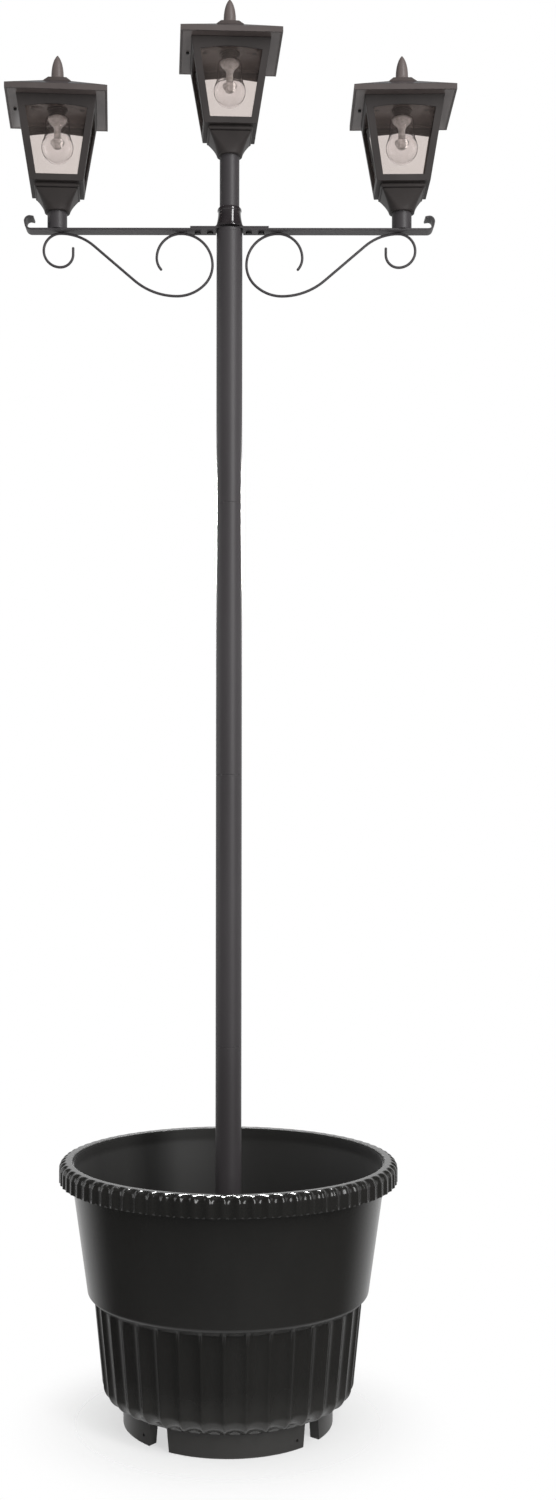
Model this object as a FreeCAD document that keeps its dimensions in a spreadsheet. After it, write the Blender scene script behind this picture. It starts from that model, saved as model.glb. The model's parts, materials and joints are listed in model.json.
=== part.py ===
"""A garden lamp post with three lanterns, standing in its own round planter.

Millimetres, +Z up. The origin is on the ground under the pole, the arms lie along X and -Y is the
front. Every lantern is drawn in a frame of its own, with its origin on the tube's axis at the
lower end of its socket, and is then placed on its tube.
"""
import FreeCAD, Part
import os
import re
import Sketcher

# Driving dimensions: (alias, value). Lengths in mm, angles in degrees.
DRIVING = {
    # planter
    "pot_height": 337.0, "rim_radius": 217.7, "rim_skirt": 26.3, "rim_skirt_wall": 5.0,
    "rim_rounding": 8.0, "rim_width": 19.0, "lip_drop": 16.0, "pot_wall": 3.5, "pot_slope": 0.14,
    "step_height": 169.0, "step_drop": 8.0, "step_inset": 8.4, "reed_slope": 0.1,
    "belly_height": 55.0, "belly_radius": 22.0, "reed_count": 38.0, "reed_depth": 3.0,
    "reed_gap": 9.0, "bead_count": 76.0, "bead_depth": 2.2, "bead_gap": 6.5, "bead_over": 2.5,
    "foot_ring_height": 33.0, "foot_inset": 4.9, "foot_ring_width": 14.0, "foot_count": 4.0,
    "foot_gap_top": 26.0, "foot_gap_bottom": 33.0, "foot_gap_turn": 50.85, "foot_hole": 4.0,
    "foot_hole_height": 11.0, "foot_hole_turn": 12.25, "pot_floor": 4.0, "drain_hole": 12.0,
    "drain_inset": 16.0, "drain_count": 6.0,
    # pole
    "pole_diameter": 33.5, "pole_wall": 1.2, "section_length": 350.0, "spigot_length": 40.0,
    "slip_gap": 0.05, "edge_break": 0.5, "swage_length": 4.0,
    "flange_radius": 60.0, "flange_thickness": 4.0, "foot_tube_rise": 94.5,
    "foot_bolt": 8.0, "foot_bolt_circle": 45.0, "foot_bolt_count": 4.0, "foot_bolt_hole": 8.8,
    "foot_bolt_head": 5.5, "foot_bolt_width": 13.0,
    # crossbar
    "plug_length": 30.0, "plug_rim": 3.5, "plate_length": 101.0, "plate_thickness": 2.3,
    "strap_width": 22.0, "strap_thickness": 2.5, "strap_start": 17.6, "strap_reach": 256.0,
    "curl_bend": 6.5, "curl_bend_turn": 78.0, "curl_rise": 3.8, "curl_roll": 6.0,
    "curl_roll_turn": 112.0, "curl_tip": 4.0,
    "arm_bolt": 4.0, "arm_bolt_hole": 4.4, "arm_bolt_first": 25.0, "arm_bolt_second": 41.0,
    "arm_bolt_width": 7.0, "arm_bolt_head": 2.2,
    "wire": 3.4, "shoulder_back": 4.5, "curl_tail": 8.0, "curl_tight": 16.5, "curl_low": 21.5,
    "curl_high": 22.0, "scroll_slope": 40.5, "shoulder_bend": 66.0, "belly_entry": 85.0,
    "belly_near": 50.0, "belly_side": 36.0, "belly_side_turn": 45.0, "scroll_rise": 40.6,
    "scroll_over": 31.5, "scroll_end": 22.0, "scroll_end_turn": 42.0,
    # collar and lantern tubes
    "collar_base": 19.6, "collar_base_height": 1.6, "collar_foot": 16.5, "collar_foot_height": 6.4,
    "collar_waist": 14.8, "collar_waist_height": 17.0, "collar_bead": 15.5, "collar_bead_height": 22.8,
    "collar_height": 26.2, "collar_socket": 15.0, "collar_spigot": 10.0, "collar_spigot_length": 25.0,
    "collar_bore": 7.0, "tube_diameter": 25.4, "tube_wall": 1.2,
    "centre_tube_show": 66.5, "stub_show": 22.0, "head_offset": 222.5,
    "left_head_turn": 4.2, "centre_head_turn": 2.8, "right_head_turn": 1.2,
    # lantern base and cage
    "socket_radius": 16.2, "socket_depth": 20.0, "socket_gap": 0.06, "socket_height": 30.5,
    "socket_flange": 28.3, "socket_flange_height": 4.2, "seat_gap": 0.3,
    "cage_bottom": 34.0, "cage_top": 50.6, "cage_height": 102.8, "cage_wall": 2.5, "post_width": 9.0,
    "rail_height": 7.8, "arch_spring": 15.2, "arch_rise": 3.6, "pane_thickness": 1.5,
    "pane_margin": 3.0, "pane_head": 9.0,
    # roof
    "eave_half": 64.5, "fascia": 7.0, "roof_slope": 26.6, "cap_half": 18.0, "roof_wall": 2.6,
    "cap_top_half": 11.8, "cap_height": 7.8, "spear_radius": 8.4, "spear_straight": 5.0,
    "spear_height": 31.8, "spear_curve": 140.0, "spear_tip": 0.6, "peg_radius": 4.0, "peg_length": 7.0,
    "cell_thickness": 1.2, "cell_margin": 6.0, "cell_low": 7.0, "cell_length": 34.0, "cell_gap": 0.2,
    "ceiling_thickness": 2.5, "ceiling_gap": 0.2, "locator_depth": 4.0, "locator_wall": 2.0,
    "locator_gap": 0.6, "screw_offset": 32.0, "screw_head": 3.0, "screw_head_height": 1.2,
    "screw_shank": 1.4, "screw_length": 9.0, "boss_radius": 3.6, "boss_length": 16.0,
    # electrics
    "holder_flange": 13.0, "holder_flange_height": 2.0, "holder_radius": 10.0, "holder_length": 7.0,
    "holder_bore": 7.2, "globe_radius": 20.7, "globe_drop": 48.9, "bulb_neck": 15.6,
    "bulb_neck_drop": 29.0, "bulb_shoulder": 14.0, "bulb_shoulder_drop": 9.5, "bulb_collar": 7.0,
    "bulb_top_drop": 4.0, "bulb_blend": 19.0, "glass_wall": 1.0,
    "stem_flare": 12.9, "stem_radius": 4.6, "lamp_radius": 8.6, "lamp_top_drop": 39.9,
    "lamp_tip_drop": 51.0, "lamp_tip": 4.0,
    "battery_radius": 7.25, "battery_length": 50.0, "battery_offset": 18.0,
    "board_length": 40.0, "board_width": 24.0, "board_thickness": 1.6, "board_offset": 17.0,
    "button_radius": 2.0, "button_gap": 0.15, "button_offset": 54.5, "button_show": 2.0,
    "button_flange": 3.0, "button_flange_height": 1.0, "button_travel": 1.2,
}

# Places and sizes worked out from the driving dimensions.
WORKED = {
    "floor_top": "foot_ring_height + pot_floor",
    "pole_radius": "pole_diameter / 2",
    "pole_bore": "pole_radius - pole_wall",
    "spigot_radius": "pole_bore - slip_gap",
    "pole_start": "floor_top + foot_tube_rise",
    "pole_top": "pole_start + 4 * section_length",
    "bar_top": "pole_top + plug_rim",
    "bar_bottom": "bar_top - strap_thickness",
    "plate_top": "bar_top + plate_thickness",
    "collar_top": "plate_top + collar_height",
    "tube_radius": "tube_diameter / 2",
    "centre_head": "collar_top + centre_tube_show",
    "side_head": "bar_top + stub_show",
    "cage_base": "socket_height",
    "cage_rim": "cage_base + cage_height",
    "cage_lean": "atan((cage_top - cage_bottom) / cage_height)",
    "cage_bevel": "cos(cage_lean)",
    "eave": "cage_rim + seat_gap",
    "roof_edge": "eave + fascia",
    "roof_rise": "(eave_half - cap_half) * tan(roof_slope)",
    "cap_base": "roof_edge + roof_rise",
    "ceiling_top": "eave + ceiling_thickness",
    "globe_centre": "eave - globe_drop",
    "lip_radius": "rim_radius - rim_width",
    "wall_at_step": "lip_radius + pot_wall - (pot_height - lip_drop - step_height) * pot_slope",
    "reed_top": "wall_at_step - step_inset",
    "reed_low": "reed_top - (step_height - step_drop - belly_height) * reed_slope",
    "belly_in": "reed_low - belly_radius",
    "foot_ring_radius": "belly_in - foot_inset",
    "drain_circle": "foot_ring_radius - foot_ring_width - drain_inset",
    "shoulder_x": "head_offset - shoulder_back",
    "wire_top": "bar_bottom - wire / 2",
}

SHEET = "dims"
doc = FreeCAD.newDocument("lamp_post")
nodes = []


def fill_sheet():
    """Write every driving dimension into the sheet under its alias."""
    sheet = doc.addObject("Spreadsheet::Sheet", SHEET)
    for row, (alias, value) in enumerate(DRIVING.items(), start=1):
        sheet.set(f"A{row}", alias)
        sheet.set(f"B{row}", str(value))
        sheet.setAlias(f"B{row}", alias)
    doc.recompute()
    return sheet


def full(text):
    """Write out a size formula so that it names only cells of the sheet."""
    def swap(match):
        word = match.group(0)
        if word in DRIVING:
            return f"{SHEET}.{word}"
        if word in WORKED:
            return f"({full(WORKED[word])})"
        return word
    return re.sub(r"[A-Za-z_]+", swap, str(text))


def value(text):
    """The number that a size formula gives now."""
    result = sheet.evalExpression(full(text))
    return float(getattr(result, "Value", result))


def bind(item, prop, text):
    """Tie a property to a size formula."""
    item.setExpression(prop, full(text))


def new_body(name, x="0", z="0", turn="0"):
    """An empty body with its own label, standing at x, z and turned about the vertical."""
    body = doc.addObject("PartDesign::Body", name)
    body.Label = name
    body.Placement = FreeCAD.Placement(FreeCAD.Vector(0, 0, 0), FreeCAD.Rotation(FreeCAD.Vector(0, 0, 1), 1))
    bind(body, "Placement.Base.x", x)
    bind(body, "Placement.Base.z", z)
    bind(body, "Placement.Rotation.Angle", turn)
    nodes.append(body)
    return body


def new_sketch(body, plane, offset="0"):
    """A sketch on one of the body's own origin planes, moved along the plane's normal."""
    sketch = body.newObject("Sketcher::SketchObject", body.Name + "_sketch")
    base = next(item for item in body.Origin.OriginFeatures if item.Role == plane)
    sketch.AttachmentSupport = (base, [""])
    sketch.MapMode = "FlatFace"
    if offset != "0":
        bind(sketch, "AttachmentOffset.Base.z", offset)
    return sketch


def tilted_sketch(body, y, z, tilt):
    """A sketch on the plane through (0, y, z) whose own y axis climbs at the angle tilt towards +Y."""
    sketch = new_sketch(body, "XY_Plane")
    sketch.AttachmentOffset = FreeCAD.Placement(FreeCAD.Vector(0, 0, 0),
                                                FreeCAD.Rotation(FreeCAD.Vector(1, 0, 0), 1))
    bind(sketch, "AttachmentOffset.Base.y", y)
    bind(sketch, "AttachmentOffset.Base.z", z)
    bind(sketch, "AttachmentOffset.Rotation.Angle", tilt)
    return sketch


def pin(sketch, geometry, end, x, y):
    """Hold one end of a line or arc at the place that two formulas give."""
    for kind, text in (("DistanceX", x), ("DistanceY", y)):
        index = sketch.addConstraint(Sketcher.Constraint(kind, -1, 1, geometry, end, value(text)))
        bind(sketch, f"Constraints[{index}]", text)


def arc_between(start, finish, radius, left):
    """The arc of less than a half turn from start to finish that bends left or right."""
    chord = finish - start
    side = FreeCAD.Vector(-chord.y, chord.x, 0).normalize()
    depth = (radius ** 2 - (chord.Length / 2) ** 2) ** 0.5
    centre = start + chord * 0.5 + side * (depth if left else -depth)
    middle = centre + side * (-radius if left else radius)
    return Part.Arc(start, middle, finish)


def draw(sketch, points, closed=True):
    """Draw an outline. A point is (x, y), or (x, y, radius, side) for an arc from the one before it."""
    places = [FreeCAD.Vector(value(point[0]), value(point[1]), 0) for point in points]
    first = 0 if closed else 1
    made = []
    for number in range(first, len(points)):
        start, finish = places[number - 1], places[number]
        if len(points[number]) == 2:
            made.append(sketch.addGeometry(Part.LineSegment(start, finish), False))
            ends = (1, 2)
        else:
            _, _, radius, side = points[number]
            arc = arc_between(start, finish, value(radius), side == "left")
            made.append(sketch.addGeometry(arc, False))
            index = sketch.addConstraint(Sketcher.Constraint("Radius", made[-1], value(radius)))
            bind(sketch, f"Constraints[{index}]", radius)
            ends = (1, 2) if side == "left" else (2, 1)
        made[-1] = (made[-1], ends)
    for number, (geometry, ends) in enumerate(made):
        if number or closed:
            before, before_ends = made[number - 1]
            sketch.addConstraint(Sketcher.Constraint("Coincident", before, before_ends[1], geometry, ends[0]))
        pin(sketch, geometry, ends[1], *points[first + number][:2])
    if not closed:
        pin(sketch, made[0][0], made[0][1][0], *points[0][:2])


def draw_circle(sketch, x, y, radius):
    """Draw a circle whose centre and radius follow formulas."""
    centre = FreeCAD.Vector(value(x), value(y), 0)
    circle = sketch.addGeometry(Part.Circle(centre, FreeCAD.Vector(0, 0, 1), value(radius)), False)
    index = sketch.addConstraint(Sketcher.Constraint("Radius", circle, value(radius)))
    bind(sketch, f"Constraints[{index}]", radius)
    pin(sketch, circle, 3, x, y)


def draw_square(sketch, half):
    """Draw a square about the sketch's origin."""
    draw(sketch, [(f"-({half})", f"-({half})"), (half, f"-({half})"), (half, half), (f"-({half})", half)])


def draw_rectangle(sketch, low_x, low_y, high_x, high_y):
    """Draw a rectangle from its low corner to its high corner."""
    draw(sketch, [(low_x, low_y), (high_x, low_y), (high_x, high_y), (low_x, high_y)])


def draw_hexagon(sketch, width, x="0", y="0"):
    """Draw a hexagon of the given width across its flats."""
    reach = f"(({width}) / 2 / cos(30))"
    points = [(f"({x}) + {reach} * cos({60 * number})", f"({y}) + {reach} * sin({60 * number})")
              for number in range(6)]
    draw(sketch, points)


def chain(x, y, heading, moves):
    """Points of a path of tangent runs and arcs: ("run", length) or ("left" or "right", radius, turn)."""
    points = [(x, y)]
    for move in moves:
        if move[0] == "run":
            x = f"{x} + ({move[1]}) * cos({heading})"
            y = f"{y} + ({move[1]}) * sin({heading})"
            points.append((x, y))
            continue
        side, radius, turn = move
        sign = "+" if side == "left" else "-"
        after = f"{heading} {sign} ({turn})"
        other = "-" if side == "left" else "+"
        x = f"{x} {sign} ({radius}) * sin({after}) {other} ({radius}) * sin({heading})"
        y = f"{y} {other} ({radius}) * cos({after}) {sign} ({radius}) * cos({heading})"
        points.append((x, y, radius, side))
        heading = after
    return points


def feature(body, kind, sketch, **settings):
    """Add a feature on a sketch. Settings given as text are bound, the others are set."""
    item = body.newObject("PartDesign::" + kind, body.Name + "_" + kind)
    item.Profile = (sketch, [""])
    for name, setting in settings.items():
        if name in ("Length", "Length2", "Angle"):
            bind(item, name, setting)
        else:
            setattr(item, name, setting)
    return item


def pad(body, sketch, length, **settings):
    """Pad a sketch by a length."""
    return feature(body, "Pad", sketch, Length=length, **settings)


def pocket(body, sketch, length, **settings):
    """Cut a sketch's outline away along its normal's far side."""
    return feature(body, "Pocket", sketch, Length=length, **settings)


def revolve(body, sketch, kind="Revolution"):
    """Turn a profile once about the vertical axis of its sketch."""
    return feature(body, kind, sketch, ReferenceAxis=(sketch, ["V_Axis"]), Angle="360")


def turned(name, points, **place):
    """A body that is one outline turned about the vertical."""
    body = new_body(name, **place)
    sketch = new_sketch(body, "XZ_Plane")
    draw(sketch, points)
    revolve(body, sketch)
    return body


def around(body, items, count):
    """Repeat features evenly about the body's vertical axis."""
    pattern = body.newObject("PartDesign::PolarPattern", body.Name + "_pattern")
    pattern.Originals = items
    axis = next(item for item in body.Origin.OriginFeatures if item.Role == "Z_Axis")
    pattern.Axis = (axis, [""])
    pattern.Angle = 360
    bind(pattern, "Occurrences", count)
    body.Tip = pattern
    return pattern


def loft(body, kind, sections):
    """Loft through sketches in turn."""
    item = body.newObject("PartDesign::" + kind, body.Name + "_" + kind)
    item.Profile = (sections[0], [""])
    item.Sections = [(section, [""]) for section in sections[1:]]
    return item


def square_loft(body, kind, steps):
    """Loft through level squares, each given as (half width, height)."""
    sections = []
    for half, height in steps:
        section = new_sketch(body, "XY_Plane", height)
        draw_square(section, half)
        sections.append(section)
    item = loft(body, kind, sections)
    item.Ruled = True
    return item


# ---------------------------------------------------------------- planter

def planter_pot():
    """The pot: a turned shell with a skirted rim, beads round the rim, reeds below the step and feet."""
    body = new_body("planter_pot", turn="foot_gap_turn")
    sketch = new_sketch(body, "XZ_Plane")
    under = "pot_height - rim_skirt"
    shelf = "pot_height - pot_wall"
    lip_low = "pot_height - lip_drop"
    draw(sketch, [
        ("0", "foot_ring_height"),
        ("foot_ring_radius - foot_ring_width", "foot_ring_height"),
        ("foot_ring_radius - foot_ring_width", "0"),
        ("foot_ring_radius", "0"),
        ("foot_ring_radius", "foot_ring_height"),
        ("belly_in", "foot_ring_height"),
        ("reed_low", "belly_height", "belly_radius", "left"),
        ("reed_top", "step_height - step_drop"),
        ("wall_at_step", "step_height"),
        ("lip_radius + pot_wall", lip_low),
        ("lip_radius + pot_wall", shelf),
        ("rim_radius - rim_skirt_wall", shelf),
        ("rim_radius - rim_skirt_wall", under),
        ("rim_radius", under),
        ("rim_radius", "pot_height - rim_rounding"),
        ("rim_radius - rim_rounding", "pot_height", "rim_rounding", "left"),
        ("lip_radius", "pot_height"),
        ("lip_radius", lip_low),
        ("wall_at_step - pot_wall", "step_height"),
        ("reed_top - pot_wall - reed_depth", "step_height - step_drop"),
        ("reed_low - pot_wall - reed_depth", "belly_height"),
        ("reed_low - 3 * pot_wall - 2 * reed_depth", "floor_top"),
        ("0", "floor_top"),
    ])
    revolve(body, sketch)

    # Carry a vee up the skirt and over the rounded shoulder between each pair of beads.
    edge = new_sketch(body, "XZ_Plane")
    draw(edge, [("rim_radius", f"{under} - 1"), ("rim_radius", "pot_height - rim_rounding"),
                ("rim_radius - rim_rounding", "pot_height", "rim_rounding", "left"),
                ("rim_radius - rim_rounding - bead_over", "pot_height")], closed=False)
    bead = new_sketch(body, "XY_Plane", f"{under} - 1")
    draw(bead, [("rim_radius - bead_depth", "0"), ("rim_radius + 1", "-bead_gap / 2"),
                ("rim_radius + 1", "bead_gap / 2")])
    bead_cut = body.newObject("PartDesign::SubtractivePipe", "bead_groove")
    bead_cut.Profile = (bead, [""])
    bead_cut.Spine = (edge, ["Edge1", "Edge2", "Edge3"])
    around(body, [bead_cut], "bead_count")

    # Carry a vee down the wall and round the belly between each pair of reeds.
    path = new_sketch(body, "XZ_Plane")
    draw(path, [("reed_top", "step_height - step_drop"), ("reed_low", "belly_height"),
                ("belly_in", "foot_ring_height", "belly_radius", "right")], closed=False)
    section = new_sketch(body, "XY_Plane", "step_height - step_drop")
    draw(section, [("reed_top - reed_depth", "0"), ("reed_top + 1", "-reed_gap / 2"),
                   ("reed_top + 1", "reed_gap / 2")])
    reed_cut = body.newObject("PartDesign::SubtractivePipe", "reed_groove")
    reed_cut.Profile = (section, [""])
    reed_cut.Spine = (path, ["Edge1", "Edge2"])
    around(body, [reed_cut], "reed_count")

    # Part the foot ring into segments, each with a small hole near one end.
    gap = new_sketch(body, "YZ_Plane", "foot_ring_radius - foot_ring_width - 2")
    draw(gap, [("-foot_gap_bottom / 2", "-1"), ("foot_gap_bottom / 2", "-1"),
               ("foot_gap_top / 2", "foot_ring_height"), ("-foot_gap_top / 2", "foot_ring_height")])
    gap_cut = pocket(body, gap, "foot_ring_width + 4", Reversed=True)
    around(body, [gap_cut], "foot_count")
    hole = new_sketch(body, "YZ_Plane", "foot_ring_radius - foot_ring_width - 8")
    draw_circle(hole, "-foot_ring_radius * sin(foot_hole_turn)", "foot_hole_height", "foot_hole / 2")
    hole_cut = pocket(body, hole, "foot_ring_width + 12", Reversed=True)
    around(body, [hole_cut], "foot_count")

    drain = new_sketch(body, "XY_Plane", "floor_top + 1")
    draw_circle(drain, "drain_circle * cos(30)", "drain_circle * sin(30)", "drain_hole / 2")
    drain_cut = pocket(body, drain, "pot_floor + 2")
    around(body, [drain_cut], "drain_count")
    bolt = new_sketch(body, "XY_Plane", "floor_top + 1")
    draw_circle(bolt, "foot_bolt_circle", "0", "foot_bolt_hole / 2")
    bolt_cut = pocket(body, bolt, "pot_floor + 2")
    around(body, [bolt_cut], "foot_bolt_count")


# ---------------------------------------------------------------- pole

def pole_foot():
    """Flange, short tube and spigot in one, bolted to the pot's floor."""
    top = "foot_tube_rise"
    body = turned("pole_foot", [
        ("spigot_radius - pole_wall", "0"),
        ("flange_radius", "0"),
        ("flange_radius", "flange_thickness"),
        ("pole_radius", "flange_thickness"),
        ("pole_radius", top),
        ("spigot_radius", top),
        ("spigot_radius", f"{top} + spigot_length"),
        ("spigot_radius - pole_wall", f"{top} + spigot_length"),
    ], z="floor_top", turn="foot_gap_turn")
    sketch = new_sketch(body, "XY_Plane", "flange_thickness + 1")
    draw_circle(sketch, "foot_bolt_circle", "0", "foot_bolt_hole / 2")
    cut = pocket(body, sketch, "flange_thickness + 2")
    around(body, [cut], "foot_bolt_count")


def foot_bolts():
    """Bolts up through floor and flange, with their heads below and their nuts above."""
    body = new_body("foot_bolts", z="foot_ring_height", turn="foot_gap_turn")
    grip = "pot_floor + flange_thickness"
    head = new_sketch(body, "XY_Plane")
    draw_hexagon(head, "foot_bolt_width", "foot_bolt_circle")
    head_pad = pad(body, head, "foot_bolt_head", Reversed=True)
    shank = new_sketch(body, "XY_Plane")
    draw_circle(shank, "foot_bolt_circle", "0", "foot_bolt / 2")
    shank_pad = pad(body, shank, f"{grip} + foot_bolt_head + 3")
    around(body, [head_pad, shank_pad], "foot_bolt_count")
    nut = new_sketch(body, "XY_Plane", grip)
    draw_hexagon(nut, "foot_bolt_width", "foot_bolt_circle")
    draw_circle(nut, "foot_bolt_circle", "0", "foot_bolt / 2 + slip_gap")
    nut_pad = pad(body, nut, "foot_bolt_head")
    around(body, [nut_pad], "foot_bolt_count")


def pole_section(name, number, has_spigot):
    """One tube of the pole, its top swaged down to slip into the next tube."""
    points = [
        ("pole_bore", "0"),
        ("pole_radius - edge_break", "0"),
        ("pole_radius", "edge_break"),
        ("pole_radius", "section_length - edge_break"),
        ("pole_radius - edge_break", "section_length"),
    ]
    if has_spigot:
        points += [
            ("spigot_radius", "section_length"),
            ("spigot_radius", "section_length + spigot_length"),
            ("spigot_radius - pole_wall", "section_length + spigot_length"),
            ("spigot_radius - pole_wall", "section_length - edge_break"),
            ("pole_bore", "section_length - edge_break - swage_length"),
        ]
    else:
        points += [("pole_bore", "section_length")]
    turned(name, points, z=f"pole_start + {number} * section_length")


# ---------------------------------------------------------------- crossbar

def pole_plug():
    """Plug in the pole's top: a skirt inside the tube and a rim level with it."""
    turned("pole_plug", [
        ("collar_spigot + slip_gap", "-plug_length"),
        ("spigot_radius", "-plug_length"),
        ("spigot_radius", "0"),
        ("pole_radius", "0"),
        ("pole_radius", "plug_rim"),
        ("collar_spigot + slip_gap", "plug_rim"),
    ], z="pole_top")


def bolt_places():
    """Where the arm bolts stand along the bar."""
    return ["arm_bolt_first", "arm_bolt_second", "-arm_bolt_first", "-arm_bolt_second"]


def bracket_plate():
    """Plate across the pole's top, with a hole for the collar and four for the arm bolts."""
    body = new_body("bracket_plate", z="bar_top")
    sketch = new_sketch(body, "XY_Plane")
    draw_rectangle(sketch, "-plate_length / 2", "-strap_width / 2", "plate_length / 2", "strap_width / 2")
    draw_circle(sketch, "0", "0", "collar_spigot + slip_gap")
    for x in bolt_places():
        draw_circle(sketch, x, "0", "arm_bolt_hole / 2")
    pad(body, sketch, "plate_thickness")


def arm_strap(name, turn):
    """Flat bar that runs out from the pole and ends in an upturned curl."""
    body = new_body(name, turn=turn)
    level = "bar_top - strap_thickness / 2"
    path = new_sketch(body, "XZ_Plane")
    draw(path, chain("strap_start", level, "0", [
        ("run", "strap_reach - strap_start"),
        ("left", "curl_bend", "curl_bend_turn"),
        ("run", "curl_rise"),
        ("left", "curl_roll", "curl_roll_turn"),
        ("run", "curl_tip"),
    ]), closed=False)
    section = new_sketch(body, "YZ_Plane", "strap_start")
    draw_rectangle(section, "-strap_width / 2", "bar_bottom", "strap_width / 2", "bar_top")
    pipe = body.newObject("PartDesign::AdditivePipe", body.Name + "_pipe")
    pipe.Profile = (section, [""])
    pipe.Spine = (path, [f"Edge{number}" for number in range(1, 6)])
    holes = new_sketch(body, "XY_Plane", "bar_top + 1")
    for x in bolt_places()[:2]:
        draw_circle(holes, x, "0", "arm_bolt_hole / 2")
    pocket(body, holes, "strap_thickness + 2")


def scroll(name, turn):
    """Round wire that leaves a small curl, touches the strap, sweeps down and rolls up by the pole."""
    body = new_body(name, turn=turn)
    fall = "(shoulder_bend + belly_entry) * (1 - cos(scroll_slope))"
    climb = ("belly_near * (1 - cos(belly_side_turn)) + belly_side * cos(belly_side_turn) + scroll_rise")
    moves = [
        ("run", "curl_tail"),
        ("left", "curl_tight", "90"),
        ("left", "curl_low", "90"),
        ("left", "curl_high", "90"),
        ("left", "shoulder_bend", "scroll_slope"),
        ("run", f"(({climb}) - {fall}) / sin(scroll_slope)"),
        ("right", "belly_entry", "scroll_slope"),
        ("right", "belly_near", "belly_side_turn"),
        ("right", "belly_side", "90 - belly_side_turn"),
        ("right", "scroll_rise", "90"),
        ("right", "scroll_over", "90"),
        ("right", "scroll_end", "scroll_end_turn"),
    ]
    start_x = "shoulder_x - (curl_tight + curl_low - curl_high)"
    start_z = "wire_top - (curl_low + curl_high - curl_tight - curl_tail)"
    path = new_sketch(body, "XZ_Plane")
    draw(path, chain(start_x, start_z, "-90", moves), closed=False)
    section = new_sketch(body, "XY_Plane", start_z)
    draw_circle(section, start_x, "0", "wire / 2")
    pipe = body.newObject("PartDesign::AdditivePipe", body.Name + "_pipe")
    pipe.Profile = (section, [""])
    pipe.Spine = (path, [f"Edge{number}" for number in range(1, len(moves) + 1)])


def arm_bolts():
    """Bolts up through the straps and the plate, with their heads below and their nuts on top."""
    body = new_body("arm_bolts", z="bar_bottom")
    grip = "strap_thickness + plate_thickness"
    heads = new_sketch(body, "XY_Plane")
    shanks = new_sketch(body, "XY_Plane")
    nuts = new_sketch(body, "XY_Plane", grip)
    for x in bolt_places():
        draw_hexagon(heads, "arm_bolt_width", x)
        draw_circle(shanks, x, "0", "arm_bolt / 2")
        draw_hexagon(nuts, "arm_bolt_width", x)
        draw_circle(nuts, x, "0", "arm_bolt / 2 + slip_gap")
    pad(body, heads, "arm_bolt_head", Reversed=True)
    pad(body, shanks, f"{grip} + arm_bolt_head + 0.2")
    pad(body, nuts, "arm_bolt_head")


def reducer_collar():
    """Stepped collar: a spigot into the plug, a flared foot, a waist and a bead, and the tube's socket."""
    socket = "collar_height - collar_socket"
    turned("reducer_collar", [
        ("collar_bore", "-collar_spigot_length"),
        ("collar_spigot", "-collar_spigot_length"),
        ("collar_spigot", "0"),
        ("collar_base", "0"),
        ("collar_base", "collar_base_height"),
        ("collar_foot", "collar_foot_height", "7", "right"),
        ("collar_waist", "collar_waist_height", "60", "right"),
        ("collar_waist", "collar_bead_height - 2"),
        ("collar_bead", "collar_bead_height - 1"),
        ("collar_bead", "collar_bead_height + 1"),
        ("tube_radius + slip_gap + 1", "collar_height"),
        ("tube_radius + slip_gap", "collar_height"),
        ("tube_radius + slip_gap", socket),
        ("collar_bore", socket),
    ], z="plate_top")


def lantern_tube(name, x, low, head):
    """Plain tube from its seat up into a lantern's socket."""
    length = f"{head} + socket_depth - seat_gap - ({low})"
    turned(name, [
        ("tube_radius - tube_wall", "0"),
        ("tube_radius", "0"),
        ("tube_radius", length),
        ("tube_radius - tube_wall", length),
    ], x=x, z=low)


# ---------------------------------------------------------------- lantern

def coved_socket(name, place):
    """Lantern base that grows from a round neck to a square flange in a hollow curve."""
    body = new_body(name, **place)
    cove = "socket_height - socket_flange_height"
    steps = [("socket_radius", "socket_radius - 1", "0"),
             ("socket_radius + 1.6", "13", f"({cove}) * 0.25"),
             ("socket_radius + 4.2", "10", f"({cove}) * 0.5"),
             ("socket_radius + 7.4", "6", f"({cove}) * 0.75"),
             ("socket_flange - 1.2", "3", cove)]
    sections = []
    for half, corner, height in steps:
        section = new_sketch(body, "XY_Plane", height)
        rounded_square(section, half, corner)
        sections.append(section)
    loft(body, "AdditiveLoft", sections)
    flange = new_sketch(body, "XY_Plane", cove)
    draw_square(flange, "socket_flange")
    pad(body, flange, "socket_flange_height")
    bore = new_sketch(body, "XY_Plane")
    draw_circle(bore, "0", "0", "tube_radius + socket_gap")
    pocket(body, bore, "socket_depth", Reversed=True)


def rounded_square(sketch, half, corner):
    """Draw a square with rounded corners about the sketch's origin."""
    edge = f"({half}) - ({corner})"
    draw(sketch, [
        (edge, f"-({half})"),
        (half, f"-({edge})", corner, "left"),
        (half, edge),
        (edge, half, corner, "left"),
        (f"-({edge})", half),
        (f"-({half})", edge, corner, "left"),
        (f"-({half})", f"-({edge})"),
        (f"-({edge})", f"-({half})", corner, "left"),
    ])


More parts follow.
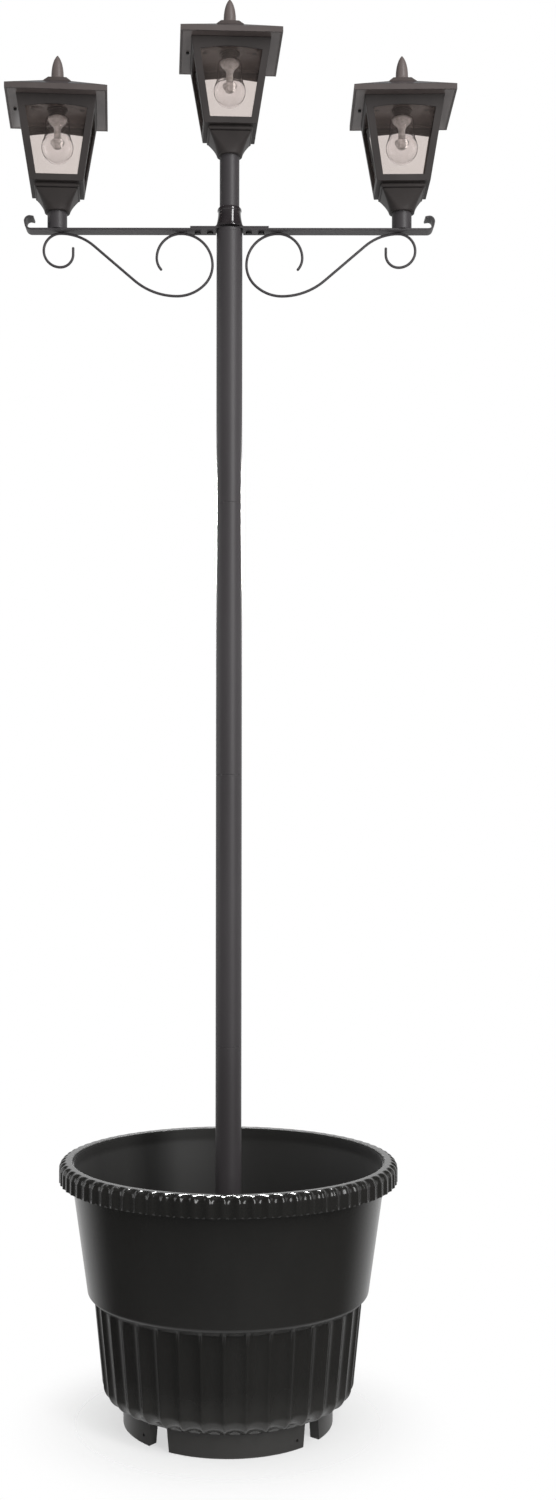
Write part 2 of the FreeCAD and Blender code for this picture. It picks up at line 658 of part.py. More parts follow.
def cage(name, place):
    """Tapered four-post frame with a floor, each side open in a window with a shallow arched head."""
    body = new_body(name, **place)
    square_loft(body, "AdditiveLoft", [("cage_bottom", "cage_base"), ("cage_top", "cage_rim")])
    rise = "(cage_top - cage_bottom) / cage_height"
    square_loft(body, "SubtractiveLoft", [
        (f"cage_bottom - cage_wall + cage_wall * {rise}", "cage_base + cage_wall"),
        (f"cage_top - cage_wall + {rise}", "cage_rim + 1"),
    ])
    face = tilted_sketch(body, "-cage_bottom", "cage_base", "90 deg + cage_lean")
    sill = "rail_height / cage_bevel"
    spring = "(cage_height - arch_spring) / cage_bevel"
    low = f"cage_bottom + rail_height * {rise} - post_width"
    high = f"cage_bottom + (cage_height - arch_spring) * {rise} - post_width"
    arch = f"((({high}) ^ 2 + arch_rise ^ 2) / 2 / arch_rise)"
    draw(face, [(f"-({low})", sill), (low, sill), (high, spring),
                (f"-({high})", spring, arch, "left")])
    cut = pocket(body, face, "cage_wall + 1")
    around(body, [cut], "4")


def panes(name, place):
    """Four panes against the inside of the cage's walls."""
    body = new_body(name, **place)
    rise = "(cage_top - cage_bottom) / cage_height"
    start = "(cage_wall + 0.2) / cage_bevel"
    finish = "(cage_height - pane_head) / cage_bevel"
    low = f"cage_bottom + (cage_wall + 0.2) * {rise} - post_width + pane_margin"
    high = f"cage_bottom + (cage_height - pane_head) * {rise} - post_width + pane_margin"
    face = tilted_sketch(body, "-(cage_bottom - cage_wall)", "cage_base", "90 deg + cage_lean")
    draw(face, [(f"-({low})", start), (low, start), (high, finish), (f"-({high})", finish)])
    pane = pad(body, face, "pane_thickness", Reversed=True)
    around(body, [pane], "4")


def cell_outline(sketch, slack):
    """Draw one solar cell's outline on a roof slope, shrunk all round by slack."""
    low = "cell_low / cos(roof_slope)"
    far = f"{low} + cell_length"
    reach = "eave_half - cell_margin - cell_low"
    short = "eave_half - cell_margin - cell_low - cell_length * cos(roof_slope)"
    draw(sketch, [(f"-({reach} - {slack})", f"{low} + {slack}"), (f"{reach} - {slack}", f"{low} + {slack}"),
                  (f"{short} - {slack}", f"{far} - {slack}"), (f"-({short} - {slack})", f"{far} - {slack}")])


def roof(name, place):
    """Hollow roof: a square eave, four slopes with recesses for the cells, and two screw bosses."""
    body = new_body(name, **place)
    edge = new_sketch(body, "XY_Plane", "eave")
    draw_square(edge, "eave_half")
    pad(body, edge, "fascia")
    square_loft(body, "AdditiveLoft", [("eave_half", "roof_edge"), ("cap_half", "cap_base")])
    drop = "roof_wall / cos(roof_slope)"
    recess = new_sketch(body, "XY_Plane", "eave")
    draw_square(recess, "eave_half - roof_wall")
    pocket(body, recess, "fascia - roof_wall", Reversed=True)
    square_loft(body, "SubtractiveLoft", [
        (f"eave_half - roof_wall - {drop}", f"roof_edge - roof_wall - 0.01"),
        (f"eave_half - roof_wall - {drop}", f"roof_edge - {drop} + roof_wall * tan(roof_slope)"),
        ("cap_half - 2", f"cap_base - {drop}"),
    ])
    peg = new_sketch(body, "XY_Plane", "cap_base + 1")
    draw_circle(peg, "0", "0", "peg_radius + slip_gap")
    pocket(body, peg, "peg_length")
    slope = tilted_sketch(body, "-eave_half", "roof_edge", "roof_slope")
    cell_outline(slope, "0")
    cut = pocket(body, slope, "cell_thickness")
    around(body, [cut], "4")
    boss = new_sketch(body, "XY_Plane", "ceiling_top")
    for x in ("screw_offset", "-screw_offset"):
        draw_circle(boss, x, "0", "boss_radius")
    pad(body, boss, "boss_length")
    pilot = new_sketch(body, "XY_Plane", "ceiling_top")
    for x in ("screw_offset", "-screw_offset"):
        draw_circle(pilot, x, "0", "screw_shank + slip_gap")
    pocket(body, pilot, "screw_length", Reversed=True)


def finial(name, place):
    """Square cap on the roof's top that carries a spear, with a peg into the roof."""
    body = new_body(name, **place)
    square_loft(body, "AdditiveLoft", [("cap_half", "cap_base"), ("cap_top_half", "cap_base + cap_height")])
    spear = new_sketch(body, "XZ_Plane")
    foot = "cap_base + cap_height - 1"
    shoulder = "cap_base + cap_height + spear_straight"
    tip = "cap_base + cap_height + spear_height"
    draw(spear, [("0", foot), ("spear_radius", foot), ("spear_radius", shoulder),
                 ("spear_tip", tip, "spear_curve", "left"), ("0", tip)])
    revolve(body, spear)
    peg = new_sketch(body, "XY_Plane", "cap_base + 1")
    draw_circle(peg, "0", "0", "peg_radius")
    pad(body, peg, "peg_length", Reversed=True)


def solar_cells(name, place):
    """Four thin cells, each flush in its recess."""
    body = new_body(name, **place)
    slope = tilted_sketch(body, "-eave_half", "roof_edge", "roof_slope")
    cell_outline(slope, "cell_gap")
    cell = pad(body, slope, "cell_thickness", Reversed=True)
    around(body, [cell], "4")


def ceiling(name, place):
    """Plate that closes the roof, with a ring that drops inside the cage, and its holes."""
    body = new_body(name, **place)
    plate = new_sketch(body, "XY_Plane", "eave")
    draw_square(plate, "eave_half - roof_wall - ceiling_gap")
    draw_circle(plate, "0", "0", "holder_bore")
    draw_circle(plate, "-button_offset", "0", "button_radius + button_gap")
    for x in ("screw_offset", "-screw_offset"):
        draw_circle(plate, x, "0", "screw_shank + slip_gap")
    pad(body, plate, "ceiling_thickness")
    sink = new_sketch(body, "XY_Plane", "eave")
    for x in ("screw_offset", "-screw_offset"):
        draw_circle(sink, x, "0", "screw_head + slip_gap")
    pocket(body, sink, "screw_head_height", Reversed=True)
    ring = new_sketch(body, "XY_Plane", "eave")
    outer = "cage_top - cage_wall - (locator_depth + seat_gap) * (cage_top - cage_bottom) / cage_height"
    draw_square(ring, f"{outer} - locator_gap")
    draw_square(ring, f"{outer} - locator_gap - locator_wall")
    pad(body, ring, "locator_depth", Reversed=True)


def ceiling_screws(name, place):
    """Two screws up through the ceiling plate into the roof's bosses."""
    body = new_body(name, **place)
    heads = new_sketch(body, "XY_Plane", "eave")
    shanks = new_sketch(body, "XY_Plane", "eave")
    for x in ("screw_offset", "-screw_offset"):
        draw_circle(heads, x, "0", "screw_head")
        draw_circle(shanks, x, "0", "screw_shank")
    pad(body, heads, "screw_head_height")
    pad(body, shanks, "screw_length")


def lamp_holder(name, place):
    """Cup that hangs under the ceiling plate and takes the bulb's cap."""
    turned(name, [
        ("holder_bore", "-holder_length"),
        ("holder_radius", "-holder_length"),
        ("holder_radius", "-holder_flange_height"),
        ("holder_flange", "-holder_flange_height"),
        ("holder_flange", "0"),
        ("holder_bore", "0"),
    ], x=place["x"], z=f"{place['z']} + eave", turn=place["turn"])


def bulb(name, place):
    """Clear bulb, a thin shell: cap collar, shoulder, long neck and globe."""
    blend = "(globe_radius ^ 2 - bulb_blend ^ 2) ^ 0.5"
    inner = "(globe_radius - glass_wall)"
    inner_blend = f"({inner} ^ 2 - (bulb_blend - glass_wall) ^ 2) ^ 0.5"
    turned(name, [
        ("0", "-globe_radius"),
        ("globe_radius", "0", "globe_radius", "left"),
        ("bulb_blend", blend, "globe_radius", "left"),
        ("bulb_neck", "globe_drop - bulb_neck_drop"),
        ("bulb_shoulder", "globe_drop - bulb_shoulder_drop"),
        ("bulb_collar", "globe_drop - holder_length - slip_gap"),
        ("bulb_collar", "globe_drop - bulb_top_drop"),
        ("bulb_collar - glass_wall", "globe_drop - bulb_top_drop"),
        ("bulb_collar - glass_wall", "globe_drop - holder_length - glass_wall"),
        ("bulb_shoulder - glass_wall", "globe_drop - bulb_shoulder_drop - glass_wall"),
        ("bulb_neck - glass_wall", "globe_drop - bulb_neck_drop"),
        ("bulb_blend - glass_wall", inner_blend),
        (inner, "0", inner, "right"),
        ("0", f"-{inner}", inner, "right"),
    ], x=place["x"], z=f"{place['z']} + globe_centre", turn=place["turn"])


def bulb_core(name, place):
    """Flared stem that hangs in the bulb and ends in the light source."""
    turned(name, [
        ("0", "-bulb_top_drop"),
        ("bulb_collar - glass_wall - slip_gap", "-bulb_top_drop"),
        ("bulb_collar - glass_wall - slip_gap", "-holder_length - glass_wall - 0.6"),
        ("stem_flare", "-holder_length - 6.5"),
        ("stem_flare - 1", "-holder_length - 9.5"),
        ("stem_radius", "-holder_length - 18", "22", "right"),
        ("stem_radius", "-lamp_top_drop"),
        ("lamp_radius", "-lamp_top_drop - 2"),
        ("lamp_radius", "-lamp_top_drop - 5"),
        ("lamp_tip", "-lamp_tip_drop"),
        ("0", "-lamp_tip_drop"),
    ], x=place["x"], z=f"{place['z']} + eave", turn=place["turn"])


def battery(name, place):
    """Cell lying along X on the ceiling plate."""
    body = new_body(name, **place)
    end = new_sketch(body, "YZ_Plane")
    draw_circle(end, "battery_offset", "ceiling_top + battery_radius", "battery_radius")
    pad(body, end, "battery_length", SideType="Symmetric")
    cap = new_sketch(body, "YZ_Plane", "battery_length / 2")
    draw_circle(cap, "battery_offset", "ceiling_top + battery_radius", "battery_radius / 3")
    pad(body, cap, "1")


def circuit_board(name, place):
    """Charging board with its three largest components, flat on the ceiling plate."""
    body = new_body(name, **place)
    board = new_sketch(body, "XY_Plane", "ceiling_top")
    draw_rectangle(board, "-board_length / 2", "-board_offset - board_width / 2", "board_length / 2",
                   "-board_offset + board_width / 2")
    pad(body, board, "board_thickness")
    chips = new_sketch(body, "XY_Plane", "ceiling_top + board_thickness")
    draw_rectangle(chips, "-board_length / 3", "-board_offset - 4", "-board_length / 3 + 8", "-board_offset + 4")
    draw_circle(chips, "2", "-board_offset", "3")
    draw_rectangle(chips, "board_length / 4", "-board_offset - 3", "board_length / 4 + 6", "-board_offset + 3")
    pad(body, chips, "3")


def switch_button(name, place):
    """Push button in the ceiling plate, kept in by a flange above it."""
    turned(name, [
        ("0", "-button_show"),
        ("button_radius", "-button_show"),
        ("button_radius", "ceiling_thickness"),
        ("button_flange", "ceiling_thickness"),
        ("button_flange", "ceiling_thickness + button_flange_height"),
        ("0", "ceiling_thickness + button_flange_height"),
    ], x=f"{place['x']} - button_offset * cos({place['turn']})", z=f"{place['z']} + eave")
    bind(nodes[-1], "Placement.Base.y", f"-button_offset * sin({place['turn']})")


def lantern(side, x, z, turn):
    """All the pieces of one lantern, at x along the bar, height z, turned about its tube."""
    place = {"x": x, "z": z, "turn": turn}
    makers = {
        "socket": coved_socket, "cage": cage, "panes": panes, "roof": roof, "finial": finial,
        "solar_cells": solar_cells, "ceiling": ceiling, "ceiling_screws": ceiling_screws,
        "lamp_holder": lamp_holder, "bulb": bulb, "bulb_core": bulb_core, "battery": battery,
        "circuit_board": circuit_board, "switch_button": switch_button,
    }
    for piece, make in makers.items():
        make(f"{side}_{piece}", place)


def check():
    """Stop if any object failed or any sub-part's shape is missing or broken."""
    for item in doc.Objects:
        if "Invalid" in item.State or "Error" in item.State:
            raise RuntimeError(f"{item.Label} failed: {item.State}")
    for node in nodes:
        if node.Shape.isNull() or not node.Shape.isValid() or not node.Shape.Solids:
            raise RuntimeError(f"{node.Label} has no valid solid")


sheet = fill_sheet()
planter_pot()
pole_foot()
foot_bolts()
for order, label in enumerate(("low", "mid_low", "mid_high", "high")):
    pole_section(f"pole_section_{label}", order, label != "high")
pole_plug()
bracket_plate()
for label, angle in (("left", "180"), ("right", "0")):
    arm_strap(f"arm_strap_{label}", angle)
    scroll(f"scroll_{label}", angle)
arm_bolts()
reducer_collar()
lantern_tube("centre_tube", "0", "collar_top - collar_socket", "centre_head")
lantern_tube("stub_tube_left", "-head_offset", "bar_top", "side_head")
lantern_tube("stub_tube_right", "head_offset", "bar_top", "side_head")
lantern("left", "-head_offset", "side_head", "left_head_turn")
lantern("centre", "0", "centre_head", "centre_head_turn")
lantern("right", "head_offset", "side_head", "-right_head_turn")
doc.recompute()
check()

os.makedirs("parts", exist_ok=True)
for node in nodes:
    node.Shape.exportStep(f"parts/{node.Label}.step")
print(len(nodes), "nodes,", sum(len(node.Shape.Solids) for node in nodes), "solids")
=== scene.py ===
"""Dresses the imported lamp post: its fine forms, finishes, studio and camera.

Shapes are worked out in millimetres in the part's own frame and turned to metres as they
become meshes. A lantern's shapes have their origin at the lower end of its socket.
"""

import json
from math import cos, pi, radians, sin

import bmesh
import bpy
import numpy as np
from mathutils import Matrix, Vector


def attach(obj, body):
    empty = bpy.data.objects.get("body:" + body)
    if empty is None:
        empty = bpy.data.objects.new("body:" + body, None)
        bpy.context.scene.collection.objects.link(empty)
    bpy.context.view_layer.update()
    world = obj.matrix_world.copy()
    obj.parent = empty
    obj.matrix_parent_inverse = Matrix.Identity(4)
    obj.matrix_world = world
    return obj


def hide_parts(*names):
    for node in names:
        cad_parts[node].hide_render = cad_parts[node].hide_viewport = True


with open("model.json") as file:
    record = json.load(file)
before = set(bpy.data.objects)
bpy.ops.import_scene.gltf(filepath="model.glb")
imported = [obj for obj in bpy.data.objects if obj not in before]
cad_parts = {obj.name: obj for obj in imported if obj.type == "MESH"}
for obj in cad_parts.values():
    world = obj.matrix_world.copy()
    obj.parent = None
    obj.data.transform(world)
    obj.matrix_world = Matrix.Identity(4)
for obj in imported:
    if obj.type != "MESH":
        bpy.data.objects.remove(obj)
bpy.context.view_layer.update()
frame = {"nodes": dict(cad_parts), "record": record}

MM = 0.001
NODES = frame["nodes"]
BODIES = frame["record"]["behaviour"]["bodies"]
BODY_OF = {node: body for body, held in BODIES.items() for node in held}
SLOT_OF = {entry["node"]: entry["material_slot"] for entry in frame["record"]["subparts"]}

# Sizes that several pieces share, in millimetres.
POLE_RADIUS, POLE_WALL = 16.75, 1.2
SECTION_LENGTH, SPIGOT_LENGTH, SPIGOT_RADIUS = 350.0, 40.0, 15.5
POLE_START = 131.5
BAR_TOP, STRAP_THICKNESS, STRAP_WIDTH = 1535.0, 2.5, 22.0
PLATE_TOP = 1537.3
TUBE_RADIUS, TUBE_WALL = 12.7, 1.2
HEAD_OFFSET = 222.5
EAVE = 133.6
WIRE_RADIUS = 1.7

# Each lantern's place across, the height of its socket's lower end, and its turn in degrees.
LANTERNS = {
    "left": (-HEAD_OFFSET, 1557.0, 4.2),
    "centre": (0.0, 1630.0, 2.8),
    "right": (HEAD_OFFSET, 1557.0, -1.2),
}


# ---------------------------------------------------------------- shader maths

class Value:
    """A shader socket that can be written in sums, as numbers are."""

    def __init__(self, paint, socket):
        self.paint, self.socket = paint, socket

    def _math(self, operation, first, second):
        return self.paint.node("ShaderNodeMath", {"operation": operation}, first, second)

    def __add__(self, other): return self._math("ADD", self, other)
    def __radd__(self, other): return self._math("ADD", other, self)
    def __sub__(self, other): return self._math("SUBTRACT", self, other)
    def __rsub__(self, other): return self._math("SUBTRACT", other, self)
    def __mul__(self, other): return self._math("MULTIPLY", self, other)
    def __pow__(self, other): return self._math("POWER", self, other)
    def __lt__(self, other): return self._math("LESS_THAN", self, other)
    def __gt__(self, other): return self._math("GREATER_THAN", self, other)

    def wrapped(self, size): return self._math("PINGPONG", self, size)
    def larger(self, other): return self._math("MAXIMUM", self, other)

    def ramp(self, low, high, start=0.0, end=1.0):
        """Carry the range low..high smoothly onto start..end."""
        return self.paint.node("ShaderNodeMapRange", {"interpolation_type": "SMOOTHSTEP"},
                               self, low, high, start, end)


class Paint:
    """One procedural material, or the world around the post, in the making."""

    def __init__(self, name, world=False):
        self.material = (bpy.data.worlds if world else bpy.data.materials).new(name)
        self.material.use_nodes = True
        self.tree = self.material.node_tree
        self.tree.nodes.clear()
        self.out = self.tree.nodes.new("ShaderNodeOutput" + ("World" if world else "Material"))
        self.place = self.node("ShaderNodeTexCoord", {}, output="Generated" if world else "Object")

    def connect(self, value, socket):
        """Feed a socket with another socket or a plain value."""
        if isinstance(value, Value):
            self.tree.links.new(value.socket, socket)
        else:
            socket.default_value = value

    def node(self, kind, settings, *values, output=None, **named):
        """Add a node: its settings first, then what its sockets take, in order or by name."""
        node = self.tree.nodes.new(kind)
        for key, setting in settings.items():
            setattr(node, key, setting)
        for socket, value in zip([s for s in node.inputs if s.enabled], values):
            self.connect(value, socket)
        for key, value in named.items():
            self.connect(value, node.inputs[key.replace("_", " ")])
        outs = [s for s in node.outputs if s.enabled]
        return Value(self, node.outputs[output] if output else outs[0])

    def axes(self):
        """The three Object coordinates, in metres, or the world's direction."""
        node = self.tree.nodes.new("ShaderNodeSeparateXYZ")
        self.connect(self.place, node.inputs[0])
        return [Value(self, out) for out in node.outputs]

    def noise(self, scale, detail, stretch=(1, 1, 1)):
        """Fine-grained noise with about scale cells to the metre."""
        spread = self.node("ShaderNodeMapping", {}, Vector=self.place, Scale=stretch)
        return self.node("ShaderNodeTexNoise", {}, Vector=spread, Scale=scale, Detail=detail,
                         output=0)

    def blend(self, amount, dark, light):
        """Mix two colours."""
        return self.node("ShaderNodeMix", {"data_type": "RGBA"}, amount, dark, light)

    def bump(self, height, depth, strength):
        """A bump whose relief is depth millimetres."""
        return self.node("ShaderNodeBump", {}, Height=height, Distance=depth * MM,
                         Strength=strength)

    def ray(self, kind):
        """One where the ray that looks is of that kind, as in "Is Camera Ray", else nought."""
        return self.node("ShaderNodeLightPath", {}, output=kind)

    def close(self, shader):
        """Feed the output with a shader, and hand over the material."""
        self.connect(shader, self.out.inputs["Surface"])
        return self.material

    def finish(self, **sockets):
        """Close the material with one Principled shader."""
        return self.close(self.node("ShaderNodeBsdfPrincipled", {}, **sockets))


def grey(red, green=None, blue=None):
    """A colour from one or three linear values."""
    return (red, red if green is None else green, red if blue is None else blue, 1.0)


def satin_paint():
    """Charcoal powder coat: orange peel, slow changes of sheen, scuffs at the pole's joints."""
    p = Paint("charcoal_powder_coat")
    _, _, z = p.axes()
    peel = p.noise(1100, 3)
    cloud = p.noise(14, 3, (1, 1, 0.25))
    joint = (z - POLE_START * MM).wrapped(SECTION_LENGTH * MM / 2)
    scuffs = joint.ramp(0.0, 0.002, 1.0, 0.0) * p.noise(260, 4).ramp(0.52, 0.68)
    colour = p.blend(cloud.ramp(0.3, 0.7), grey(0.044, 0.0395, 0.042), grey(0.055, 0.05, 0.053))
    colour = p.blend(scuffs * 0.35, colour, grey(0.16))
    return p.finish(Base_Color=colour, Roughness=0.4 + cloud * 0.1 + peel * 0.06,
                    Specular_IOR_Level=0.42, Normal=p.bump(peel, 0.03, 0.6))


def collar_gloss():
    """Gloss black: a deep coat with a trace of waviness and faint handling marks."""
    p = Paint("collar_gloss_black")
    wave = p.noise(160, 1)
    marks = p.noise(70, 4, (1, 1, 0.4)).ramp(0.45, 0.75)
    colour = p.blend(marks, grey(0.024, 0.02, 0.022), grey(0.034, 0.029, 0.031))
    return p.finish(Base_Color=colour, Roughness=0.12 + marks * 0.08, Coat_Weight=0.7,
                    Coat_Roughness=0.08, Normal=p.bump(wave, 0.04, 0.5))


def lantern_plastic(name, dark, light, rough, relief=0.7):
    """Brown-grey moulded plastic with a fine spark-eroded grain, its red from dark to light."""
    p = Paint(name)
    grain = p.noise(1500, 2)
    flow = p.noise(22, 3, (1, 1, 0.5))
    colour = p.blend(flow.ramp(0.3, 0.72), grey(dark, dark * 0.82, dark * 0.78),
                     grey(light, light * 0.83, light * 0.79))
    return p.finish(Base_Color=colour, Roughness=rough + grain * 0.1 + flow * 0.06,
                    Specular_IOR_Level=0.36, Normal=p.bump(grain, 0.05, relief))


def pot_plastic():
    """Near-black moulded plastic with flow marks: satin outside, duller inside and at the foot."""
    p = Paint("planter_moulded_plastic")
    _, _, z = p.axes()
    flow = p.noise(9, 4, (1, 1, 0.35))
    grain = p.noise(900, 2)
    facing = p.node("ShaderNodeNewGeometry", {}, output="Normal")
    level = p.node("ShaderNodeVectorMath", {"operation": "MULTIPLY"}, p.place, (1.0, 1.0, 0.0))
    outward = p.node("ShaderNodeVectorMath", {"operation": "DOT_PRODUCT"}, facing, level,
                     output="Value")
    inside = outward.ramp(-0.03, 0.0, 1.0, 0.0)
    foot, belly = z.ramp(0.029, 0.034, 1.0, 0.0), z.ramp(0.032, 0.095, 1.0, 0.0)
    colour = p.blend(flow.ramp(0.3, 0.7), grey(0.0115, 0.0111, 0.0101),
                     grey(0.016, 0.0155, 0.0142))
    # Painted light: paler low on the belly and on the foot, for light thrown up from the pale
    # floor.
    colour = p.blend(belly * 0.8, colour, grey(0.036, 0.035, 0.033))
    colour = p.blend(foot * 0.8, colour, grey(0.05, 0.0485, 0.0465))
    rough = 0.16 + flow * 0.07 + grain * 0.04 + foot * 0.18 + inside * 0.34
    return p.finish(Base_Color=colour, Roughness=rough, Normal=p.bump(grain, 0.03, 0.25))


def clear_pane():
    """Clear plastic pane: a faint warm brown haze with draw lines."""
    p = Paint("clear_pane")
    haze = p.noise(30, 3, (1, 1, 0.2)).ramp(0.3, 0.75)
    colour = p.blend(haze, grey(0.2, 0.17, 0.16), grey(0.28, 0.24, 0.22))
    film = p.node("ShaderNodeBsdfPrincipled", {}, Base_Color=colour, Roughness=0.05 + haze * 0.05)
    clear = p.node("ShaderNodeBsdfTransparent", {}, Color=grey(0.955, 0.93, 0.918))
    return p.close(p.node("ShaderNodeMixShader", {}, 0.07 + haze * 0.02, clear, film))


def bulb_glass():
    """Clear blown glass with barely uneven walls."""
    p = Paint("bulb_clear_glass")
    wave = p.noise(60, 1)
    return p.finish(Base_Color=p.blend(wave, grey(0.97, 0.95, 0.95), grey(1.0)),
                    Roughness=wave * 0.02, Transmission_Weight=1.0, IOR=1.45,
                    Normal=p.bump(wave, 0.1, 0.25))


def lamp_core():
    """Pressed-glass stem and lamp: milky grey with soft moulding ripples."""
    p = Paint("bulb_stem_milky")
    ripple = p.noise(180, 2, (1, 1, 2))
    colour = p.blend(ripple.ramp(0.3, 0.7), grey(0.62, 0.59, 0.57), grey(0.86, 0.83, 0.81))
    return p.finish(Base_Color=colour, Roughness=0.12 + ripple * 0.12, Transmission_Weight=0.3,
                    IOR=1.45, Coat_Weight=0.8, Coat_Roughness=0.03,
                    Normal=p.bump(ripple, 0.3, 0.6))


def solar_cell():
    """Dark blue silicon under clear resin, with pale fingers across and wider collectors."""
    p = Paint("solar_cell_silicon")
    x, y, _ = p.axes()
    finger = (x.wrapped(0.0011) < 0.00009) * 0.45
    collector = (y.wrapped(0.0125) < 0.00045) * 0.7
    grain = p.noise(220, 1)
    colour = p.blend(grain.ramp(0.35, 0.65), grey(0.006, 0.008, 0.022), grey(0.012, 0.018, 0.045))
    colour = p.blend(finger.larger(collector), colour, grey(0.32, 0.33, 0.35))
    return p.finish(Base_Color=colour, Roughness=0.12 + grain * 0.08, Coat_Weight=0.8,
                    Coat_Roughness=0.05)


def plated_steel():
    """Zinc plate: pale, with cloudy spangle."""
    p = Paint("zinc_plated_steel")
    spangle = p.noise(300, 3)
    return p.finish(Base_Color=p.blend(spangle, grey(0.42, 0.42, 0.4), grey(0.62, 0.61, 0.57)),
                    Metallic=1.0, Roughness=0.3 + spangle * 0.2,
                    Normal=p.bump(spangle, 0.04, 0.4))


def black_screw():
    """Blackened steel with worn high spots."""
    p = Paint("blackened_steel")
    wear = p.noise(700, 4)
    return p.finish(Base_Color=p.blend(wear.ramp(0.55, 0.75), grey(0.02), grey(0.09)),
                    Metallic=0.7, Roughness=0.38 + wear * 0.2, Normal=p.bump(wear, 0.04, 0.5))


def cell_sleeve():
    """Shrunk plastic sleeve on the battery, drawn a little along its length."""
    p = Paint("battery_sleeve")
    pull = p.noise(120, 2, (0.3, 1, 1))
    return p.finish(Base_Color=p.blend(pull, grey(0.05, 0.13, 0.2), grey(0.08, 0.2, 0.3)),
                    Roughness=0.28 + pull * 0.1, Normal=p.bump(pull, 0.05, 0.4))


def coated_board():
    """Circuit board: green lacquer over copper traces that run both ways."""
    p = Paint("coated_circuit_board")
    x, y, _ = p.axes()
    along = (x.wrapped(0.0021) < 0.00035) * (p.noise(90, 0) > 0.5)
    across = (y.wrapped(0.0017) < 0.0003) * (p.noise(70, 0, (1, 1.4, 1)) > 0.52)
    trace = along.larger(across)
    return p.finish(Base_Color=p.blend(trace, grey(0.012, 0.07, 0.03), grey(0.03, 0.15, 0.06)),
                    Roughness=0.3 - trace * 0.08, Normal=p.bump(trace, 0.04, 0.5))


def soft_button():
    """Matt black rubber with a fine grain."""
    p = Paint("button_rubber")
    grain = p.noise(1800, 2)
    return p.finish(Base_Color=p.blend(grain, grey(0.014), grey(0.024)),
                    Roughness=0.6 + grain * 0.2, Normal=p.bump(grain, 0.05, 0.6))


FINISHES = {
    "black_paint": satin_paint(), "collar_gloss": collar_gloss(),
    "lantern_plastic": lantern_plastic("lantern_moulded_plastic", 0.027, 0.037, 0.48),
    # Painted light: roof and finial cap get the lantern plastic made paler, for light on the
    # fascia.
    "roof_plastic_painted_lit": lantern_plastic("lantern_roof_plastic", 0.072, 0.092, 0.42),
    # Painted light: the spear gets the lantern plastic made paler still, for light on the finial.
    "spear_plastic_painted_lit": lantern_plastic("lantern_spear_plastic", 0.12, 0.145, 0.34),
    # Painted light: the ceiling gets the lantern plastic made paler, for light seen on it through
    # the panes.
    "ceiling_plastic_painted_lit": lantern_plastic("lantern_ceiling_plastic", 0.11, 0.14, 0.16, 0.2),
    "pot_plastic": pot_plastic(), "clear_pane": clear_pane(), "bulb_glass": bulb_glass(),
    "lamp_white": lamp_core(), "cell_dark": solar_cell(), "bolt_zinc": plated_steel(),
    "screw_steel": black_screw(), "cell_sleeve": cell_sleeve(), "board_green": coated_board(),
    "button_rubber": soft_button(),
}
for node, held in NODES.items():
    held.data.materials.clear()
    held.data.materials.append(FINISHES[SLOT_OF[node]])


# ---------------------------------------------------------------- shapes

MERGE = 2e-6  # corners nearer than this, in metres, become one
LONGEST_REACH = 0.45  # a rounding's, as a share of its shorter edge
GUARD = 0.08  # distance of the points beside a rounding, as a share of its reach
CORNER_STEPS, BALL_STEPS = 8, 5  # in a square's round corner and a wire's round end
WIRE_SIDES = 14
ARC_STEP = 4.0  # degrees
TIP_SHARE = 0.02  # of a wire's section at its very end
LOBES = 6  # round the lamp in a bulb
SHARP = 40.0  # degrees between faces from which an edge isn't smooth
BEVEL_SEGMENTS, BEVEL_FROM, FLAT_WITHIN = 2, 30, 0.5  # the last two in degrees


def softened_outline(corners, closed=False, steps=4):
    """Outline with rounded corners. Each corner is (radius, height, rounding).

    Near a corner P the outline follows the quadratic curve (1-t)^2 A + 2t(1-t) P + t^2 B, where
    A and B lie on the two edges at the rounding's distance, held to LONGEST_REACH of the edge.
    A point just outside A and B keeps the flat runs flat.
    """
    spots = np.array([corner[:2] for corner in corners], float)
    rounding = [corner[2] if len(corner) > 2 else 0.0 for corner in corners]
    before, after = np.roll(spots, 1, 0) - spots, np.roll(spots, -1, 0) - spots
    parts = []
    for number, (spot, size, back, ahead) in enumerate(zip(spots, rounding, before, after)):
        end = not closed and number in (0, len(spots) - 1)
        if end or size == 0:
            parts.append(spot[None])
            continue
        lengths = np.linalg.norm(back), np.linalg.norm(ahead)
        reach = min(size, LONGEST_REACH * min(lengths))
        start, stop = spot + back / lengths[0] * reach, spot + ahead / lengths[1] * reach
        t = np.linspace(0, 1, steps + 1)[:, None]
        curve = (1 - t) ** 2 * start + 2 * t * (1 - t) * spot + t ** 2 * stop
        guard = GUARD * reach
        parts += [(start + back / lengths[0] * guard)[None], curve,
                  (stop + ahead / lengths[1] * guard)[None]]
    return np.concatenate(parts)


def turned(outline, columns=96, lobes=None, angle=None):
    """Grid of an outline turned about the vertical: (r cos a, r sin a, z) for every row (r, z).

    Where lobes is given, each row's radius also swells by its share times cos(LOBES a).
    """
    angle = np.linspace(0, 2 * pi, columns, endpoint=False) if angle is None else angle
    radius, height = outline[:, 0][:, None], outline[:, 1][:, None]
    if lobes is not None:
        radius = radius * (1 + lobes[:, None] * np.cos(LOBES * angle))
    grid = (radius * np.cos(angle), radius * np.sin(angle), height)
    return np.stack(np.broadcast_arrays(*grid), -1)


def cylinder(radius, start, stop, columns):
    """Grid of a solid cylinder about the vertical, from one height to another."""
    return turned(np.array([(0, start), (radius, start), (radius, stop), (0, stop)]), columns)


